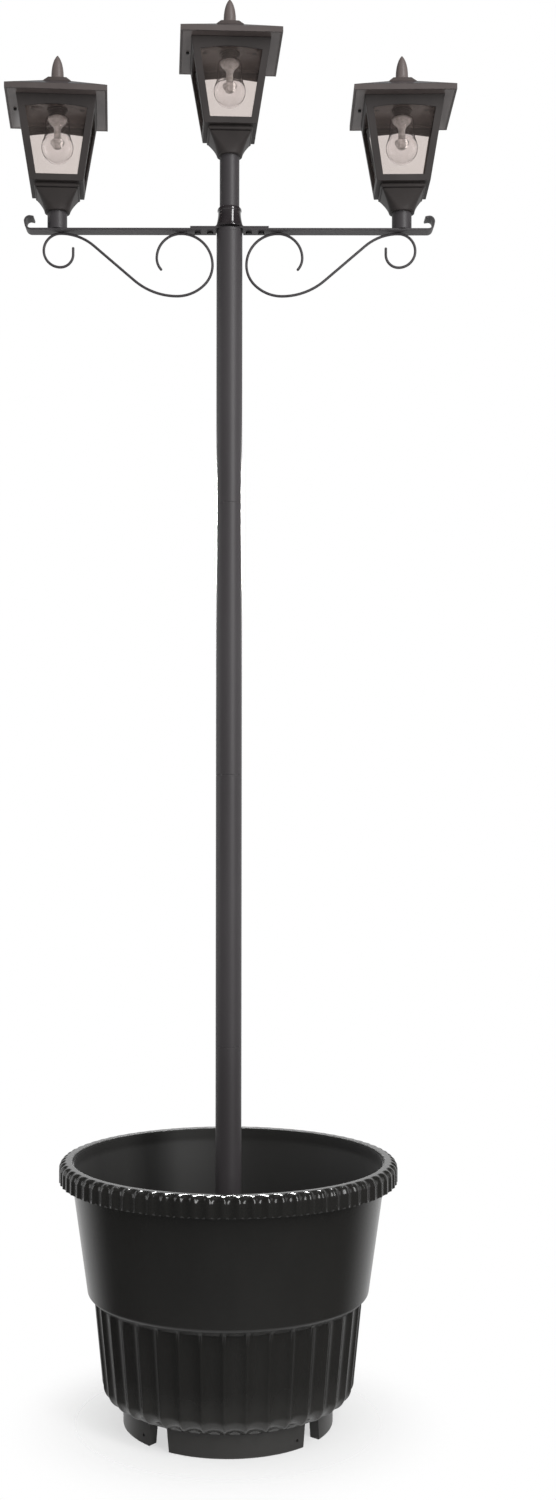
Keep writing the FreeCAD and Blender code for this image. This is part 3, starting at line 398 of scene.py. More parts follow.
def rounded_squares(rows):
    """Grid of level squares with round corners, one a row (half width, corner radius, height).

    Column k of a quarter turn is the corner's centre (half - corner) plus the corner radius times
    (cos a, sin a), and the other three quarters are the first one turned.
    """
    half, corner, height = np.array(rows, float).T[:, :, None]
    angle = np.linspace(0, pi / 2, CORNER_STEPS)
    x = (half - corner) + corner * np.cos(angle)
    y = (half - corner) + corner * np.sin(angle)
    quarters = [(x, y), (-y, x), (-x, -y), (y, -x)]
    flat = np.concatenate([np.stack(quarter, -1) for quarter in quarters], 1)
    level = np.broadcast_to(height[..., None], flat.shape[:2] + (1,))
    return np.concatenate((flat, level), -1)


def walk(x, z, heading, moves):
    """Points of a path in X and Z: ("run", length), and arcs (side, radius, turn).

    An arc of radius r that turns by a from heading h is the centre plus r times the unit vector
    at right angles to the heading, taken about every ARC_STEP degrees between h and h + a.
    """
    points = [np.array([[x, z]], float)]
    for move in moves:
        last = points[-1][-1]
        if move[0] == "run":
            run = np.linspace(0, move[1], 4)[1:, None]
            points.append(last + run * [cos(radians(heading)), sin(radians(heading))])
            continue
        side, radius, turn = move
        sign = 1 if side == "left" else -1
        count = max(3, int(turn / ARC_STEP))
        along = np.radians(heading + sign * np.linspace(0, turn, count + 1)[1:])
        sideways = np.array([-sin(radians(heading)), cos(radians(heading))])
        centre = last + sign * radius * sideways
        points.append(centre + sign * radius * np.stack((np.sin(along), -np.cos(along)), -1))
        heading += sign * turn
    return np.concatenate(points)


def carried(path, section, ends=None):
    """Grid of a section (across, outward) carried along a path in X and Z.

    Each row is the path's point plus the outward part along its normal, with the across part
    along Y. Ends gives for each row by how much the section is shrunk.
    """
    ahead = np.gradient(path, axis=0)
    ahead /= np.linalg.norm(ahead, axis=1)[:, None]
    normal = np.stack((-ahead[:, 1], ahead[:, 0]), -1)
    size = np.ones(len(path)) if ends is None else ends
    out = section[:, 1][None] * size[:, None]
    flat = path[:, None] + out[..., None] * normal[:, None]
    across = section[:, 0][None] * size[:, None]
    return np.stack((flat[..., 0], across, flat[..., 1]), -1)


def round_ended(path, radius):
    """A path with extra points, and every point's share of the section, for ends as half balls.

    At an angle a past an end the point lies r sin a further on, and the share is cos a.
    """
    angle = np.linspace(0, pi / 2, BALL_STEPS + 1)[1:]
    first, last = path[0] - path[1], path[-1] - path[-2]
    first, last = first / np.linalg.norm(first), last / np.linalg.norm(last)
    head = path[0] + first * radius * np.sin(angle[::-1])[:, None]
    tail = path[-1] + last * radius * np.sin(angle)[:, None]
    size = np.concatenate((np.cos(angle[::-1]), np.ones(len(path)), np.cos(angle)))
    return np.concatenate((head, path, tail)), np.maximum(size, TIP_SHARE)


def ring_section(radius):
    """A circle as a section: (r cos a, r sin a)."""
    angle = np.linspace(0, 2 * pi, WIRE_SIDES, endpoint=False)
    return np.stack((radius * np.cos(angle), radius * np.sin(angle)), -1)


def bar_section(width, thickness, rounding):
    """A flat bar's section with rounded edges."""
    w, t = width / 2, thickness / 2
    corners = [(-w, -t, rounding), (w, -t, rounding), (w, t, rounding), (-w, t, rounding)]
    return softened_outline(corners, True, 3)


def stand(grid, x=0.0, z=0.0, turn=0.0):
    """Turn a grid about the vertical by an angle in degrees, then move it along X and Z."""
    a = radians(turn)
    moved = grid.copy()
    moved[..., 0] = grid[..., 0] * cos(a) - grid[..., 1] * sin(a) + x
    moved[..., 1] = grid[..., 0] * sin(a) + grid[..., 1] * cos(a)
    moved[..., 2] += z
    return moved


def shifted(grid, radius, turn):
    """A grid moved out along X by radius, then turned about the vertical."""
    return stand(grid + np.array([radius, 0, 0]), turn=turn)


def quads(rows, columns, closed):
    """Corner numbers of a grid's faces; its columns wrap round, and its rows too if closed."""
    row = np.arange(rows if closed else rows - 1)[:, None]
    column = np.arange(columns)[None]
    above, beside = (row + 1) % rows, (column + 1) % columns
    corners = (row * columns + column, row * columns + beside,
               above * columns + beside, above * columns + column)
    return np.stack(np.broadcast_arrays(*corners), -1).reshape(-1, 4)


def face_inward(points, faces):
    """Whether four-sided faces a, b, c, d point inwards.

    Six times the volume inside is the sum of a . (b x c + c x d), negative for such faces.
    """
    points = points - points.mean(0)
    a, b, c, d = (points[faces[:, k]] for k in range(4))
    return np.sum(a * (np.cross(b, c) + np.cross(c, d))) < 0


def merge_corners(source, mesh, flat=None):
    """Write source to mesh with near corners merged, and faces joined that lie within flat."""
    tidy = bmesh.new()
    tidy.from_mesh(source)
    bmesh.ops.remove_doubles(tidy, verts=tidy.verts, dist=MERGE)
    if flat:
        bmesh.ops.dissolve_limit(tidy, angle_limit=flat, verts=tidy.verts, edges=tidy.edges)
    tidy.to_mesh(mesh)
    tidy.free()


def shade(mesh, sharp):
    """Shade a mesh smoothly, but for edges sharper than an angle in degrees."""
    mesh.polygons.foreach_set("use_smooth", np.ones(len(mesh.polygons), bool))
    mesh.set_sharp_from_angle(angle=radians(sharp))


def mesh_of(name, grid, closed=False, caps=False):
    """Mesh of a grid in millimetres, facing outwards, with a face over each end if it has caps."""
    rows, columns = grid.shape[:2]
    points, faces = grid.reshape(-1, 3) * MM, quads(rows, columns, closed)
    ends = [np.arange(columns)[::-1], np.arange(columns) + (rows - 1) * columns] if caps else []
    if face_inward(points, faces):
        faces, ends = faces[:, ::-1], [end[::-1] for end in ends]
    mesh = bpy.data.meshes.new(name)
    mesh.from_pydata(points, [], faces.tolist() + [end.tolist() for end in ends])
    merge_corners(mesh, mesh)
    return mesh


def make_piece(name, grid, node, finish=None, closed=False, caps=False, sharp=SHARP):
    """A piece from a grid in millimetres, which stands for a CAD node or for a part of one."""
    mesh = mesh_of(name, grid, closed, caps)
    shade(mesh, sharp)
    return dress(bpy.data.objects.new(name, mesh), node, finish)


def dress(piece, node, finish):
    """Link a piece, give it a finish or its slot's own, and let it ride on its node's body."""
    slot = SLOT_OF[node]
    bpy.context.scene.collection.objects.link(piece)
    piece.data.materials.clear()
    piece.data.materials.append(FINISHES[finish or slot])
    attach(piece, BODY_OF[node])
    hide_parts(node)
    return piece


def softened_node(node, width, finish=None):
    """A copy of a CAD node with its edges rounded by a bevel of that width in millimetres."""
    mesh = bpy.data.meshes.new(node + "_rounded")
    merge_corners(NODES[node].data, mesh, radians(FLAT_WITHIN))
    shade(mesh, BEVEL_FROM)
    piece = bpy.data.objects.new(node + "_rounded", mesh)
    edge = piece.modifiers.new("rounded_edges", "BEVEL")
    edge.width, edge.segments = width * MM, BEVEL_SEGMENTS
    edge.limit_method, edge.angle_limit = "ANGLE", radians(BEVEL_FROM)
    edge.harden_normals = True
    return dress(piece, node, finish)


def cut(piece, cutters):
    """Take the cutters, grids in millimetres, out of a finished piece."""
    for grid in cutters:
        tool = bpy.data.objects.new("cutter", mesh_of("cutter", grid))
        bpy.context.scene.collection.objects.link(tool)
        hole = piece.modifiers.new("hole", "BOOLEAN")
        hole.operation, hole.solver, hole.object = "DIFFERENCE", "EXACT", tool
        view = bpy.context.evaluated_depsgraph_get()
        done = bpy.data.meshes.new_from_object(piece.evaluated_get(view))
        piece.modifiers.clear()
        piece.data = done
        bpy.data.objects.remove(tool)
    piece.data.set_sharp_from_angle(angle=radians(SHARP))


# ---------------------------------------------------------------- planter

POT_TURN = 50.85
POT_TOP, FLOOR_TOP, FLOOR_UNDER = 337.0, 37.0, 33.0
FLOOR_RADIUS = 118.0

# Flutes of the wall and of the rim: their number, half width as a share of the pitch, depth,
# how far their rounded ends keep from the outline's end, and the reach of those ends.
FLUTES, FLUTE_WIDTH, FLUTE_DEPTH, FLUTE_MARGIN, FLUTE_END = 38, 0.44, 3.6, 5.5, 10.0
RIM_FLUTES, RIM_WIDTH, RIM_DEPTH, RIM_MARGIN, RIM_END = 76, 0.36, 2.2, 3.4, 7.5
CROWN = 0.35  # by how much the ridges between them bulge

# The floor's holes: their number, radius and the radius of the ring that they lie on.
DRAINS, DRAIN_RADIUS, DRAIN_RING = 6, 6.0, 105.0
BOLTS, BOLT_HOLE, BOLT_RING = 4, 4.4, 45.0

# The feet, and the gaps' half width at the ground and what it loses up to the floor.
FEET, FOOT_INSIDE, FOOT_OUTSIDE = 4, 121.0, 135.0
GAP, GAP_SLOPE = 16.5, 3.5

# The small hole in each foot: its cutter's size, its height, and its place in the foot.
HOLE_RADIUS, HOLE_HALF_LENGTH, HOLE_HEIGHT = 2.0, 20.0, 11.0
HOLE_RING, HOLE_TURN, HOLE_ASIDE = 128, 12.25, 0.6


def fluting(offset, pitch, width, depth):
    """Depth across a flute and the ridges beside it.

    Within the flute's half width h it is an arc of a circle through both edges, d deep: with
    R = (h^2 + d^2) / 2d, sqrt(R^2 - x^2) - R + d at a distance x from the middle. To that comes
    the ridges' CROWN, whole over the flute and falling as s^2 to nothing on the ridge's middle,
    where s is 0.
    """
    half = width * pitch
    swing = (half ** 2 + depth ** 2) / (2 * depth)
    arc = np.sqrt(np.maximum(swing ** 2 - (offset * pitch) ** 2, 0)) - swing + depth
    ridge = np.clip((0.5 - np.abs(offset)) / (0.5 - width), 0, 1)
    return np.maximum(arc, 0) + CROWN * ridge ** 2


def opening(distance, reach):
    """Share by which a flute is open at a distance from its end: a quarter ellipse over reach.

    With t the distance over the reach, the share is sqrt(1 - (1 - t)^2).
    """
    t = np.clip(distance / reach, 0, 1)
    return np.sqrt(np.clip(1 - (1 - t) ** 2, 0, 1))


def along(outline):
    """Distance along an outline, from its start, of each of its points."""
    return np.concatenate(([0], np.cumsum(np.linalg.norm(np.diff(outline, axis=0), axis=1))))


def outline_normals(outline):
    """Unit normals of an outline that is walked upwards, pointing away from the axis."""
    ahead = np.gradient(outline, axis=0)
    ahead /= np.linalg.norm(ahead, axis=1)[:, None]
    return np.stack((ahead[:, 1], -ahead[:, 0]), -1)


def flute_angles(count, columns):
    """Angles round the axis, bunched at the ridges, and each one's offset from its flute's middle.

    With s running evenly from -1/2 to 1/2 over a flute, the offset is sin(pi s) / 2.
    """
    offset = np.sin(pi * (np.arange(columns) / columns - 0.5)) / 2
    turn = (np.arange(count)[:, None] + 0.5 + offset) * 2 * pi / count
    return turn.ravel(), np.tile(offset, count)


def fluted(base, angle, offset, count, width, depth, share):
    """Grid of a turned outline with flutes sunk into it along its normal, by each row's share.

    A flute narrows with its share s, so that its edge stands 0.5 - (0.5 - width) / sqrt(s) of
    the pitch from its middle.
    """
    pitch = base[:, 0][:, None] * 2 * pi / count
    open_width = 0.5 - (0.5 - width) / np.maximum(share, 0.3)[:, None] ** 0.5
    sunk = share[:, None] * fluting(offset[None], pitch, np.maximum(open_width, 0.1), depth)
    normal = outline_normals(base)
    radius = base[:, 0][:, None] - sunk * normal[:, 0][:, None]
    level = base[:, 1][:, None] - sunk * normal[:, 1][:, None]
    return np.stack((radius * np.cos(angle), radius * np.sin(angle), level), -1)


def planter_wall():
    """The wall: a belly that turns up into straight fluted sides, a plain top and inside."""
    belly, bend = 22.0, 55
    arc = np.radians(np.linspace(-90, 0, 30))
    base = np.concatenate((
        np.stack((140.1 + belly * np.cos(arc), bend + belly * np.sin(arc)), -1),
        np.stack((np.linspace(162.1, 172.6, 10), np.linspace(bend, 160.6, 10)), -1)[1:]))
    angle, offset = flute_angles(FLUTES, 22)
    share = opening(along(base) - FLUTE_MARGIN, FLUTE_END)
    outside = fluted(base, angle, offset, FLUTES, FLUTE_WIDTH, FLUTE_DEPTH, share)
    upper = [(172.6, 161.0), (180.9, 168.8, 2.2), (202.2, 321.0, 3.0), (202.2, 333.0)]
    inner = [(202.2, 333.0), (198.7, 333.0), (198.7, 321.0, 3), (177.4, 169.0, 4),
             (166.0, 161.0, 4), (155.4, 55.0, 14), (137.0, FLOOR_TOP), (FLOOR_RADIUS, FLOOR_TOP),
             (FLOOR_RADIUS, FLOOR_UNDER), (139.0, FLOOR_UNDER)]
    grids = [outside] + [turned(softened_outline(run), angle=angle) for run in (upper, inner)]
    make_piece("planter_wall", stand(np.concatenate(grids), turn=POT_TURN), "planter_pot",
               closed=True, sharp=37)


def planter_rim():
    """The rim: a fluted skirt with a quarter round shoulder, its top, lip and inside."""
    under, radius, shoulder, lip = 310.7, 217.7, 9.5, 205.5
    curl = np.radians(np.linspace(0, 90, 16))
    level = POT_TOP - shoulder
    base = np.concatenate((
        np.stack((np.full(7, radius), np.linspace(under + 0.8, level, 7)), -1),
        np.stack((radius - shoulder + shoulder * np.cos(curl),
                  level + shoulder * np.sin(curl)), -1)[1:],
        np.stack((np.linspace(radius - shoulder, lip, 4), np.full(4, POT_TOP)), -1)[1:]))
    angle, offset = flute_angles(RIM_FLUTES, 16)
    share = opening(along(base)[-1] - RIM_MARGIN - along(base), RIM_END)
    outside = fluted(base, angle, offset, RIM_FLUTES, RIM_WIDTH, RIM_DEPTH, share)
    rest = [(lip, POT_TOP), (200.4, POT_TOP, 1.6), (200.4, 332.6), (203.0, 332.6),
            (212.7, 332.6, 1.2), (212.7, under + 0.4, 0.6), (215.2, under, 0.6)]
    rest = turned(softened_outline(rest), angle=angle)
    make_piece("planter_rim", stand(np.concatenate((outside, rest[1:])), turn=POT_TURN),
               "planter_pot", closed=True, sharp=55)


def planter_floor():
    """The floor with its drains and the holes for the bolts."""
    disc = cylinder(FLOOR_RADIUS, FLOOR_TOP, FLOOR_UNDER, 96)
    floor = make_piece("planter_floor", stand(disc, turn=POT_TURN), "planter_pot")
    low, high = FLOOR_UNDER - 3.0, FLOOR_TOP + 3.0
    holes = []
    for count, radius, ring, turn in ((DRAINS, DRAIN_RADIUS, DRAIN_RING, POT_TURN + 30),
                                      (BOLTS, BOLT_HOLE, BOLT_RING, POT_TURN)):
        hole = cylinder(radius, low, high, 24)
        holes += [shifted(hole, ring, turn + 360 // count * k) for k in range(count)]
    cut(floor, holes)


def foot_segment():
    """A foot as a rounded section carried round the axis, its ends cut by the gaps' sides.

    A gap's sloping side stands at a half width w(z) from the gap's middle, so that the foot runs
    from asin(w / r) to a quarter turn less the same.
    """
    section = softened_outline([(FOOT_INSIDE, 0, 1.2), (FOOT_OUTSIDE, 0, 1.2),
                                (FOOT_OUTSIDE, FLOOR_UNDER), (FOOT_INSIDE, FLOOR_UNDER)], True, 3)
    radius, height = section.T
    half = GAP - GAP_SLOPE * height / FLOOR_UNDER
    edge = np.arcsin(half / radius)
    share = np.linspace(0, 1, 40)[:, None]
    angle = edge + share * (pi / 2 - 2 * edge)
    height = np.broadcast_to(height, angle.shape)
    return np.stack((radius * np.cos(angle), radius * np.sin(angle), height), -1)


def planter_feet():
    """The four feet, each with the small hole that is drilled through it near one end."""
    angle = radians(HOLE_TURN)
    drill = cylinder(HOLE_RADIUS, -HOLE_HALF_LENGTH, HOLE_HALF_LENGTH, 20)[..., [2, 0, 1]]
    drill = drill + np.array([HOLE_RING * cos(angle), -HOLE_RING * sin(angle) + HOLE_ASIDE,
                              HOLE_HEIGHT])
    for number in range(FEET):
        foot = make_piece(f"planter_foot_{number + 1}",
                          stand(foot_segment(), turn=POT_TURN + 90 * number), "planter_pot",
                          caps=True)
        cut(foot, [stand(drill, turn=POT_TURN + 90 * (number + 1))])


# ---------------------------------------------------------------- pole and crossbar

def pole():
    """The pole's sections, with their swaged spigots, and the plug in its top."""
    inner, bore = POLE_RADIUS - POLE_WALL, SPIGOT_RADIUS - POLE_WALL
    for number, label in enumerate(("low", "mid_low", "mid_high", "high")):
        top = SECTION_LENGTH
        shape = [(inner, 0), (POLE_RADIUS, 0, 0.7), (POLE_RADIUS, top, 0.7)]
        if label == "high":
            shape += [(inner, top)]
        else:
            shape += [(SPIGOT_RADIUS, top, 0.4), (SPIGOT_RADIUS, top + SPIGOT_LENGTH, 0.4),
                      (bore, top + SPIGOT_LENGTH), (bore, top - 0.5), (inner, top - 4.5)]
        grid = turned(softened_outline(shape, True), 128)
        make_piece(f"pole_tube_{label}", stand(grid, z=POLE_START + number * SECTION_LENGTH),
                   f"pole_section_{label}", closed=True)
    hole, low, head = 10.05, 1501.5, 1531.5
    shape = [(hole, low), (SPIGOT_RADIUS, low, 0.6), (SPIGOT_RADIUS, head), (POLE_RADIUS, head),
             (POLE_RADIUS, BAR_TOP, 0.4), (hole, BAR_TOP)]
    make_piece("pole_top_plug", turned(softened_outline(shape, True)), "pole_plug", closed=True)


def collar():
    """The glossy reducer: stem, flared foot, waist and bead, as one turned outline."""
    z, bore, stem, waist, bead = PLATE_TOP, 7.0, 10.0, 14.8, 15.7
    shape = [(bore, z - 25), (stem, z - 25, 0.5), (stem, z), (19.6, z, 0.4), (19.6, z + 1.6, 0.8),
             (17.6, z + 2.6, 2.0), (16.3, z + 7.0, 3.0), (15.3, z + 12.0, 3.0),
             (waist, z + 17.0, 3.0), (waist, z + 20.9, 0.5), (bead, z + 21.8, 0.9),
             (bead, z + 23.8, 0.9), (14.4, z + 26.0, 1.2), (12.75, z + 26.2, 0.3),
             (12.75, z + 11.2), (bore, z + 11.2)]
    make_piece("collar_turned", turned(softened_outline(shape, True, 5), 128), "reducer_collar",
               closed=True)


# Each tube's place across, its lower end and its length.
TUBES = {
    "centre_tube": (0, 1548.5, 101.2),
    "stub_tube_left": (-HEAD_OFFSET, BAR_TOP, 41.7),
    "stub_tube_right": (HEAD_OFFSET, BAR_TOP, 41.7),
}


def lantern_tubes():
    """The three tubes that the lanterns turn on."""
    bore = TUBE_RADIUS - TUBE_WALL
    for node, (x, low, length) in TUBES.items():
        shape = [(bore, 0), (TUBE_RADIUS, 0), (TUBE_RADIUS, length, 0.4), (bore, length)]
        grid = turned(softened_outline(shape, True))
        make_piece(node + "_round", stand(grid, x=x, z=low), node, closed=True)


def scroll_path():
    """The right scroll's wire, from its small curl at the arm's end to the large one at the pole.

    The straight run between them falls at the slope's angle, and its length brings the tops of
    both curls to one level: (climb - fall) / sin(slope).
    """
    slope, low_bend, high_bend, shoulder, neck, crown = 40.5, 66.0, 85.0, 50.0, 36.0, 40.6
    fall = (low_bend + high_bend) * (1 - cos(radians(slope)))
    climb = shoulder * (1 - cos(radians(45))) + neck * cos(radians(45)) + crown
    return walk(218.0 - 16.0, 1530.8 - 19.0, -90, [
        ("run", 8.0), ("left", 16.5, 90), ("left", 21.5, 90), ("left", 22.0, 90),
        ("left", low_bend, slope), ("run", (climb - fall) / sin(radians(slope))),
        ("right", high_bend, slope), ("right", shoulder, 45), ("right", neck, 45),
        ("right", crown, 90), ("right", 31.5, 90), ("right", 22.0, 42)])


def crossbar():
    """Both straps with their curls, the wire scrolls under them, and the plates and bolts."""
    bar = walk(17.6, BAR_TOP - STRAP_THICKNESS / 2, 0, [
        ("run", 238.4), ("left", 6.5, 78), ("run", 3.8), ("left", 6.0, 112), ("run", 4.0)])
    strap = carried(bar, bar_section(STRAP_WIDTH, STRAP_THICKNESS, 0.7))
    wire, size = round_ended(scroll_path(), WIRE_RADIUS)
    scroll = carried(wire, ring_section(WIRE_RADIUS), size)
    for side, turn in (("left", 180), ("right", 0)):
        make_piece(f"strap_{side}_bar", stand(strap, turn=turn), f"arm_strap_{side}", caps=True,
                   sharp=30)
        make_piece(f"scroll_{side}_wire", stand(scroll, turn=turn), f"scroll_{side}", caps=True)
    for node, width in (("bracket_plate", 0.5), ("arm_bolts", 0.35), ("foot_bolts", 0.5),
                        ("pole_foot", 0.5)):
        softened_node(node, width)


# ---------------------------------------------------------------- lanterns

SOCKET_BORE = 12.76
FINIAL_LOW, FINIAL_TOP = 163.9, 171.7
BULB_RADIUS, BULB_WALL = 20.7, 1.0
BUTTON_ASIDE = 54.5


def socket_shape():
    """Coved base: level squares that grow with height to the power 1.45 while corners tighten."""
    share = np.linspace(0.02, 1, 16)
    cove = np.stack((16.2 + 10.2 * share ** 1.45, 15.2 - 12.6 * share ** 0.9, 23.4 * share), -1)
    bore = [(0.0, 0.0, 20.0), (SOCKET_BORE, SOCKET_BORE, 20.0), (SOCKET_BORE, SOCKET_BORE, 0.3)]
    mouth = [(13.1, 13.1, 0.0), (15.7, 15.2, 0.0), (16.1, 15.4, 0.2)]
    groove = [(25.0, 1.8, 23.6), (25.0, 1.8, 24.7)]
    flange = [(27.0, 1.6, 24.8), (27.5, 1.4, 24.9), (28.6, 1.2, 26.0), (28.7, 1.2, 26.3),
              (28.7, 1.2, 28.1), (28.5, 1.1, 28.4)]
    step = [(26.4, 1.0, 28.5), (26.4, 1.0, 30.5), (0.0, 0.0, 30.5)]
    return rounded_squares(bore + mouth + list(cove) + groove + flange + step)


def finial_cap():
    """Square cap with sloping sides over the roof's hole."""
    low, top = FINIAL_LOW, FINIAL_TOP
    return rounded_squares([
        (0.0, 0.0, low), (17.4, 0.6, low), (18.0, 0.8, low + 0.3), (17.75, 0.9, low + 0.7),
        (12.35, 0.9, top - 0.8), (11.8, 0.9, top - 0.3), (11.2, 0.8, top - 0.05),
        (9.0, 4.0, top), (0.0, 0.0, top)])


def finial_spear():
    """Round shaft that closes to its tip along a curve.

    The curve is (1-t)^2 A + 2t(1-t) P + t^2 B, from the shaft's end A over P, 8 mm below the
    tip, to the tip B.
    """
    top = FINIAL_TOP
    start, over, stop = np.array([[8.0, top + 5.0], [7.7, top + 23.8], [0.5, top + 31.8]])
    t = np.linspace(0, 1, 16)[:, None]
    point = (1 - t) ** 2 * start + 2 * t * (1 - t) * over + t ** 2 * stop
    foot = np.array([[0.0, top - 0.6], [8.6, top - 0.6], [8.6, top + 0.2], [8.1, top + 0.8]])
    return turned(np.concatenate((foot, point, [[0.0, top + 31.85]])), 48)


def bulb_outline():
    """Clear bulb: a ball, a smooth swept neck, a shoulder and a collar, and the same inside.

    The neck is (1-t)^3 A + 3t(1-t)^2 P + 3t^2(1-t) Q + t^3 B, from the ball's end A, which it
    leaves along the ball, to the shoulder B. The inside lies one wall in along the normals.
    """
    turn = np.radians(np.linspace(-90, 24, 40))
    globe = np.stack((BULB_RADIUS * np.cos(turn), EAVE - 48.9 + BULB_RADIUS * np.sin(turn)), -1)
    start, lean = globe[-1], np.array([-sin(turn[-1]), cos(turn[-1])])
    t = np.linspace(0, 1, 14)[1:, None]
    end = np.array([16.2, EAVE - 24.0])
    neck = ((1 - t) ** 3 * start + 3 * t * (1 - t) ** 2 * (start + lean * 6.5)
            + 3 * t ** 2 * (1 - t) * (end - np.array([0.5, 5.0])) + t ** 3 * end)
    top = softened_outline([tuple(end), (15.2, EAVE - 10.4, 4.5), (7.1, EAVE - 7.0, 1.5),
                            (7.0, EAVE - 4.0)])
    outer = np.concatenate((globe, neck, top[1:]))
    outer[0, 0] = 0.0
    inner = outer - outline_normals(outer) * BULB_WALL
    inner[0] = (0.0, inner[0, 1])
    return np.concatenate((outer, inner[::-1]))


def core_shape():
    """Flared stem and the lamp at its end, whose rim has six soft lobes."""
    e = EAVE
    shape = [(0.0, e - 4.2), (5.4, e - 4.2), (5.4, e - 8.8), (11.6, e - 10.4, 1.6),
             (13.0, e - 13.8, 1.4), (11.6, e - 16.4, 1.5), (6.0, e - 22.0, 3.5),
             (4.6, e - 26.0, 2.0), (4.4, e - 37.4, 1.0), (8.6, e - 40.2, 1.0),
             (8.4, e - 44.0, 1.4), (4.2, e - 50.6, 1.8), (0.0, e - 51.2)]
    outline = softened_outline(shape)
    swell = 0.07 * np.clip(outline[:, 0] / 8.0, 0, 1)
    return turned(outline, 72, np.where(outline[:, 1] < e - 37.9, swell, 0.0))


def lantern(side, x, z, turn):
    """Everything of one lantern that is finer than its CAD nodes."""
    def add(piece, grid, node, finish=None, up=0.0, **looks):
        placed = stand(grid, x=x, z=z + up, turn=turn)
        make_piece(f"{side}_{piece}", placed, f"{side}_{node}", finish, **looks)

    add("socket_coved", socket_shape(), "socket", sharp=34)
    add("finial_cap", finial_cap(), "finial", "roof_plastic_painted_lit", sharp=34)
    add("finial_spear", finial_spear(), "finial", "spear_plastic_painted_lit")
    softened_node(f"{side}_cage", 0.6)
    softened_node(f"{side}_roof", 0.7, "roof_plastic_painted_lit")
    softened_node(f"{side}_ceiling", 0.3, "ceiling_plastic_painted_lit")
    add("bulb_glass", turned(bulb_outline(), 72), "bulb")
    add("bulb_stem", core_shape(), "bulb_core")
    holder = softened_outline([(7.2, -7.0), (10.0, -7.0, 0.8), (10.4, -2.0, 0.6),
                               (13.0, -2.0, 0.6), (13.0, 0.0), (7.2, 0.0)], True)
    add("holder_cup", turned(holder, 64), "lamp_holder", up=EAVE, closed=True)
    button = softened_outline([(0.0, -2.0), (2.0, -2.0, 0.6), (2.0, 2.5), (3.0, 2.5),
                               (3.0, 3.5, 0.3), (0.0, 3.5)])
    add("button_cap", turned(button, 32) - np.array([BUTTON_ASIDE, 0, 0]), "switch_button",
        up=EAVE)


planter_wall()
planter_rim()
planter_floor()
planter_feet()
pole()
collar()
lantern_tubes()
crossbar()
for side, (x, z, turn) in LANTERNS.items():
    lantern(side, x, z, turn)


# ---------------------------------------------------------------- studio

# Each lamp's name, place and aim in metres, width, height, power in watts, and the kinds of ray
# that miss it besides the camera's.
LAMPS = [
    ("key", (1.6, -2.4, 2.7), (0, 0, 2.4), 0.75, 4.2, 104, ()),
    ("front_high", (-0.3, -1.9, 3.6), (0, 0, 1.5), 2.4, 1.2, 10, ("glossy",)),
    ("side_left", (-2.3, 0.3, 1.2), (0, 0, 0.8), 0.8, 2.0, 10, ()),
    ("side_right", (2.3, 0.3, 1.2), (0, 0, 0.8), 0.8, 2.0, 5, ()),
    ("rim_glint", (0.0, 0.28, 1.2), (0, -0.2, 0.34), 0.34, 0.2, 42, ("diffuse", "transmission")),
]

# The photograph's camera: where it stands, in metres, its focal length and the picture's height
# in pixels, its shift as shares of that height, and its roll in degrees.
EYE = (0.012, -2.153, 0.794)
FOCAL_LENGTH, PICTURE_HEIGHT, SENSOR = 1666, 1500, 36.0
SHIFT_X, SHIFT_Y, ROLL = 0.0266, 0.036, -0.07


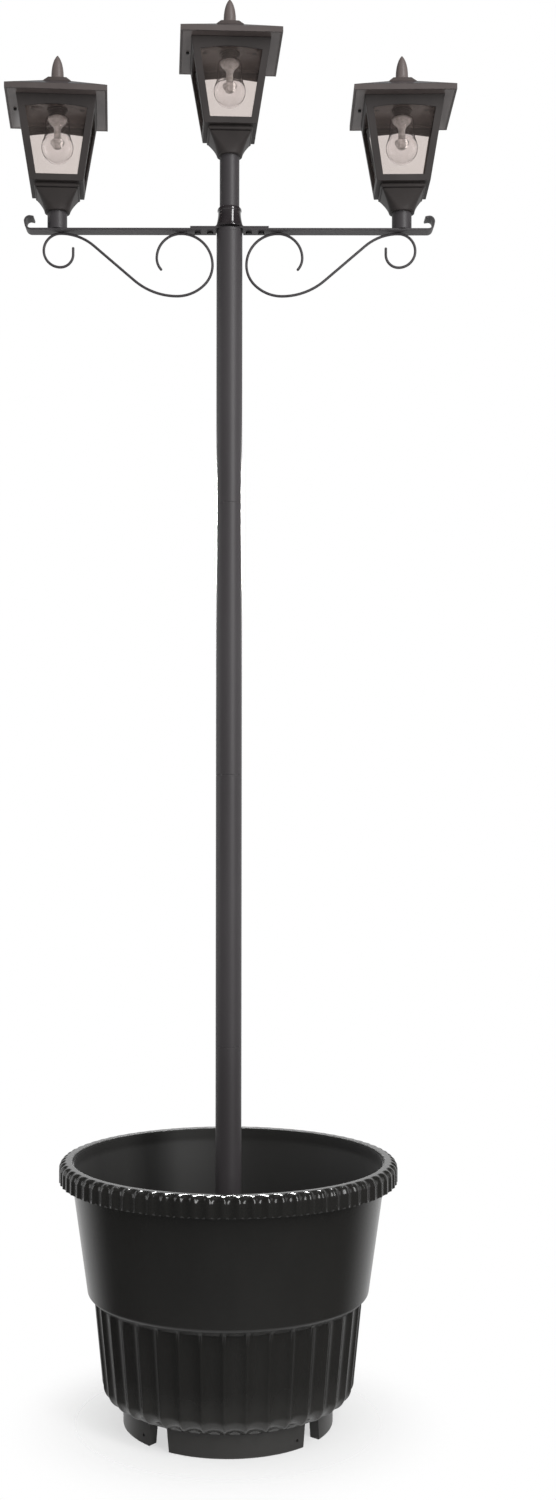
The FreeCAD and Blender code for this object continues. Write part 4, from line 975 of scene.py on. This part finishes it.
def studio_floor():
    """Pale floor that fades into the white background away from the post."""
    columns = 64
    radius = np.array([0.001, 0.6, 1.5, 3.0])
    rings = turned(np.stack((radius, np.zeros(4)), -1), columns)
    mesh = bpy.data.meshes.new("floor")
    mesh.from_pydata(rings.reshape(-1, 3), [], quads(4, columns, False)[:, ::-1].tolist())
    floor = bpy.data.objects.new("floor", mesh)
    bpy.context.scene.collection.objects.link(floor)
    p = Paint("pale_floor")
    x, y, _ = p.axes()
    spread = (x ** 2 + y ** 2) ** 0.5
    matt = p.node("ShaderNodeBsdfDiffuse", {}, Color=grey(0.93))
    clear = p.node("ShaderNodeBsdfTransparent", {}, Color=grey(1.0))
    seen = p.ray("Is Camera Ray")
    faded = seen * spread.ramp(0.13, 0.3, 0.6, 1.0) + (1 - seen) * spread.ramp(0.3, 1.1)
    faded = faded.larger(p.ray("Is Glossy Ray"))
    mesh.materials.append(p.close(p.node("ShaderNodeMixShader", {}, faded, matt, clear)))


def studio_world():
    """White to the camera and through glass, pale grey as light, and to gloss mostly dark.

    A ray that gloss sends out meets 0.12 in front and up to 0.95 as its direction turns to the
    back, less where it rises or sinks, and 0.75 for the pale floor where it goes steeply down.
    """
    p = Paint("studio", world=True)
    _, y, z = p.axes()
    level = z.ramp(0.28, 0.55, 1.0, 0.12) * z.ramp(-0.5, -0.2, 0.45, 1.0)
    back = (y.ramp(0.2, 0.75, 0.12, 0.95) * level).larger((0 - z).ramp(0.4, 0.8, 0.0, 0.75))
    seen = p.ray("Is Camera Ray").larger(p.ray("Is Transmission Ray"))
    gloss = p.ray("Is Glossy Ray")
    strength = seen + (1 - seen) * (gloss * back + (1 - gloss) * 0.42)
    light = p.node("ShaderNodeBackground", {}, Color=grey(1.0), Strength=strength)
    bpy.context.scene.world = p.close(light)


def lamp(name, place, aim, width, height, power, hidden):
    """A soft rectangular lamp at place that faces aim."""
    light = bpy.data.lights.new(name, "AREA")
    light.shape, light.size, light.size_y, light.energy = "RECTANGLE", width, height, power
    holder = bpy.data.objects.new(name, light)
    holder.location = place
    for kind in ("camera",) + hidden:
        setattr(holder, "visible_" + kind, False)
    holder.rotation_euler = (Vector(aim) - Vector(place)).to_track_quat("-Z", "Y").to_euler()
    bpy.context.scene.collection.objects.link(holder)


def camera():
    """The photograph's view: level, from in front and a little to the right."""
    eye = bpy.data.cameras.new("camera")
    eye.sensor_width, eye.sensor_fit = SENSOR, "AUTO"
    eye.lens = FOCAL_LENGTH / PICTURE_HEIGHT * SENSOR
    eye.shift_x, eye.shift_y = SHIFT_X, SHIFT_Y
    holder = bpy.data.objects.new("camera", eye)
    holder.location = EYE
    holder.rotation_euler = (pi / 2, radians(ROLL), 0)
    bpy.context.scene.collection.objects.link(holder)
    bpy.context.scene.camera = holder


studio_floor()
studio_world()
for settings in LAMPS:
    lamp(*settings)
camera()
bpy.context.scene.view_settings.view_transform = "Standard"
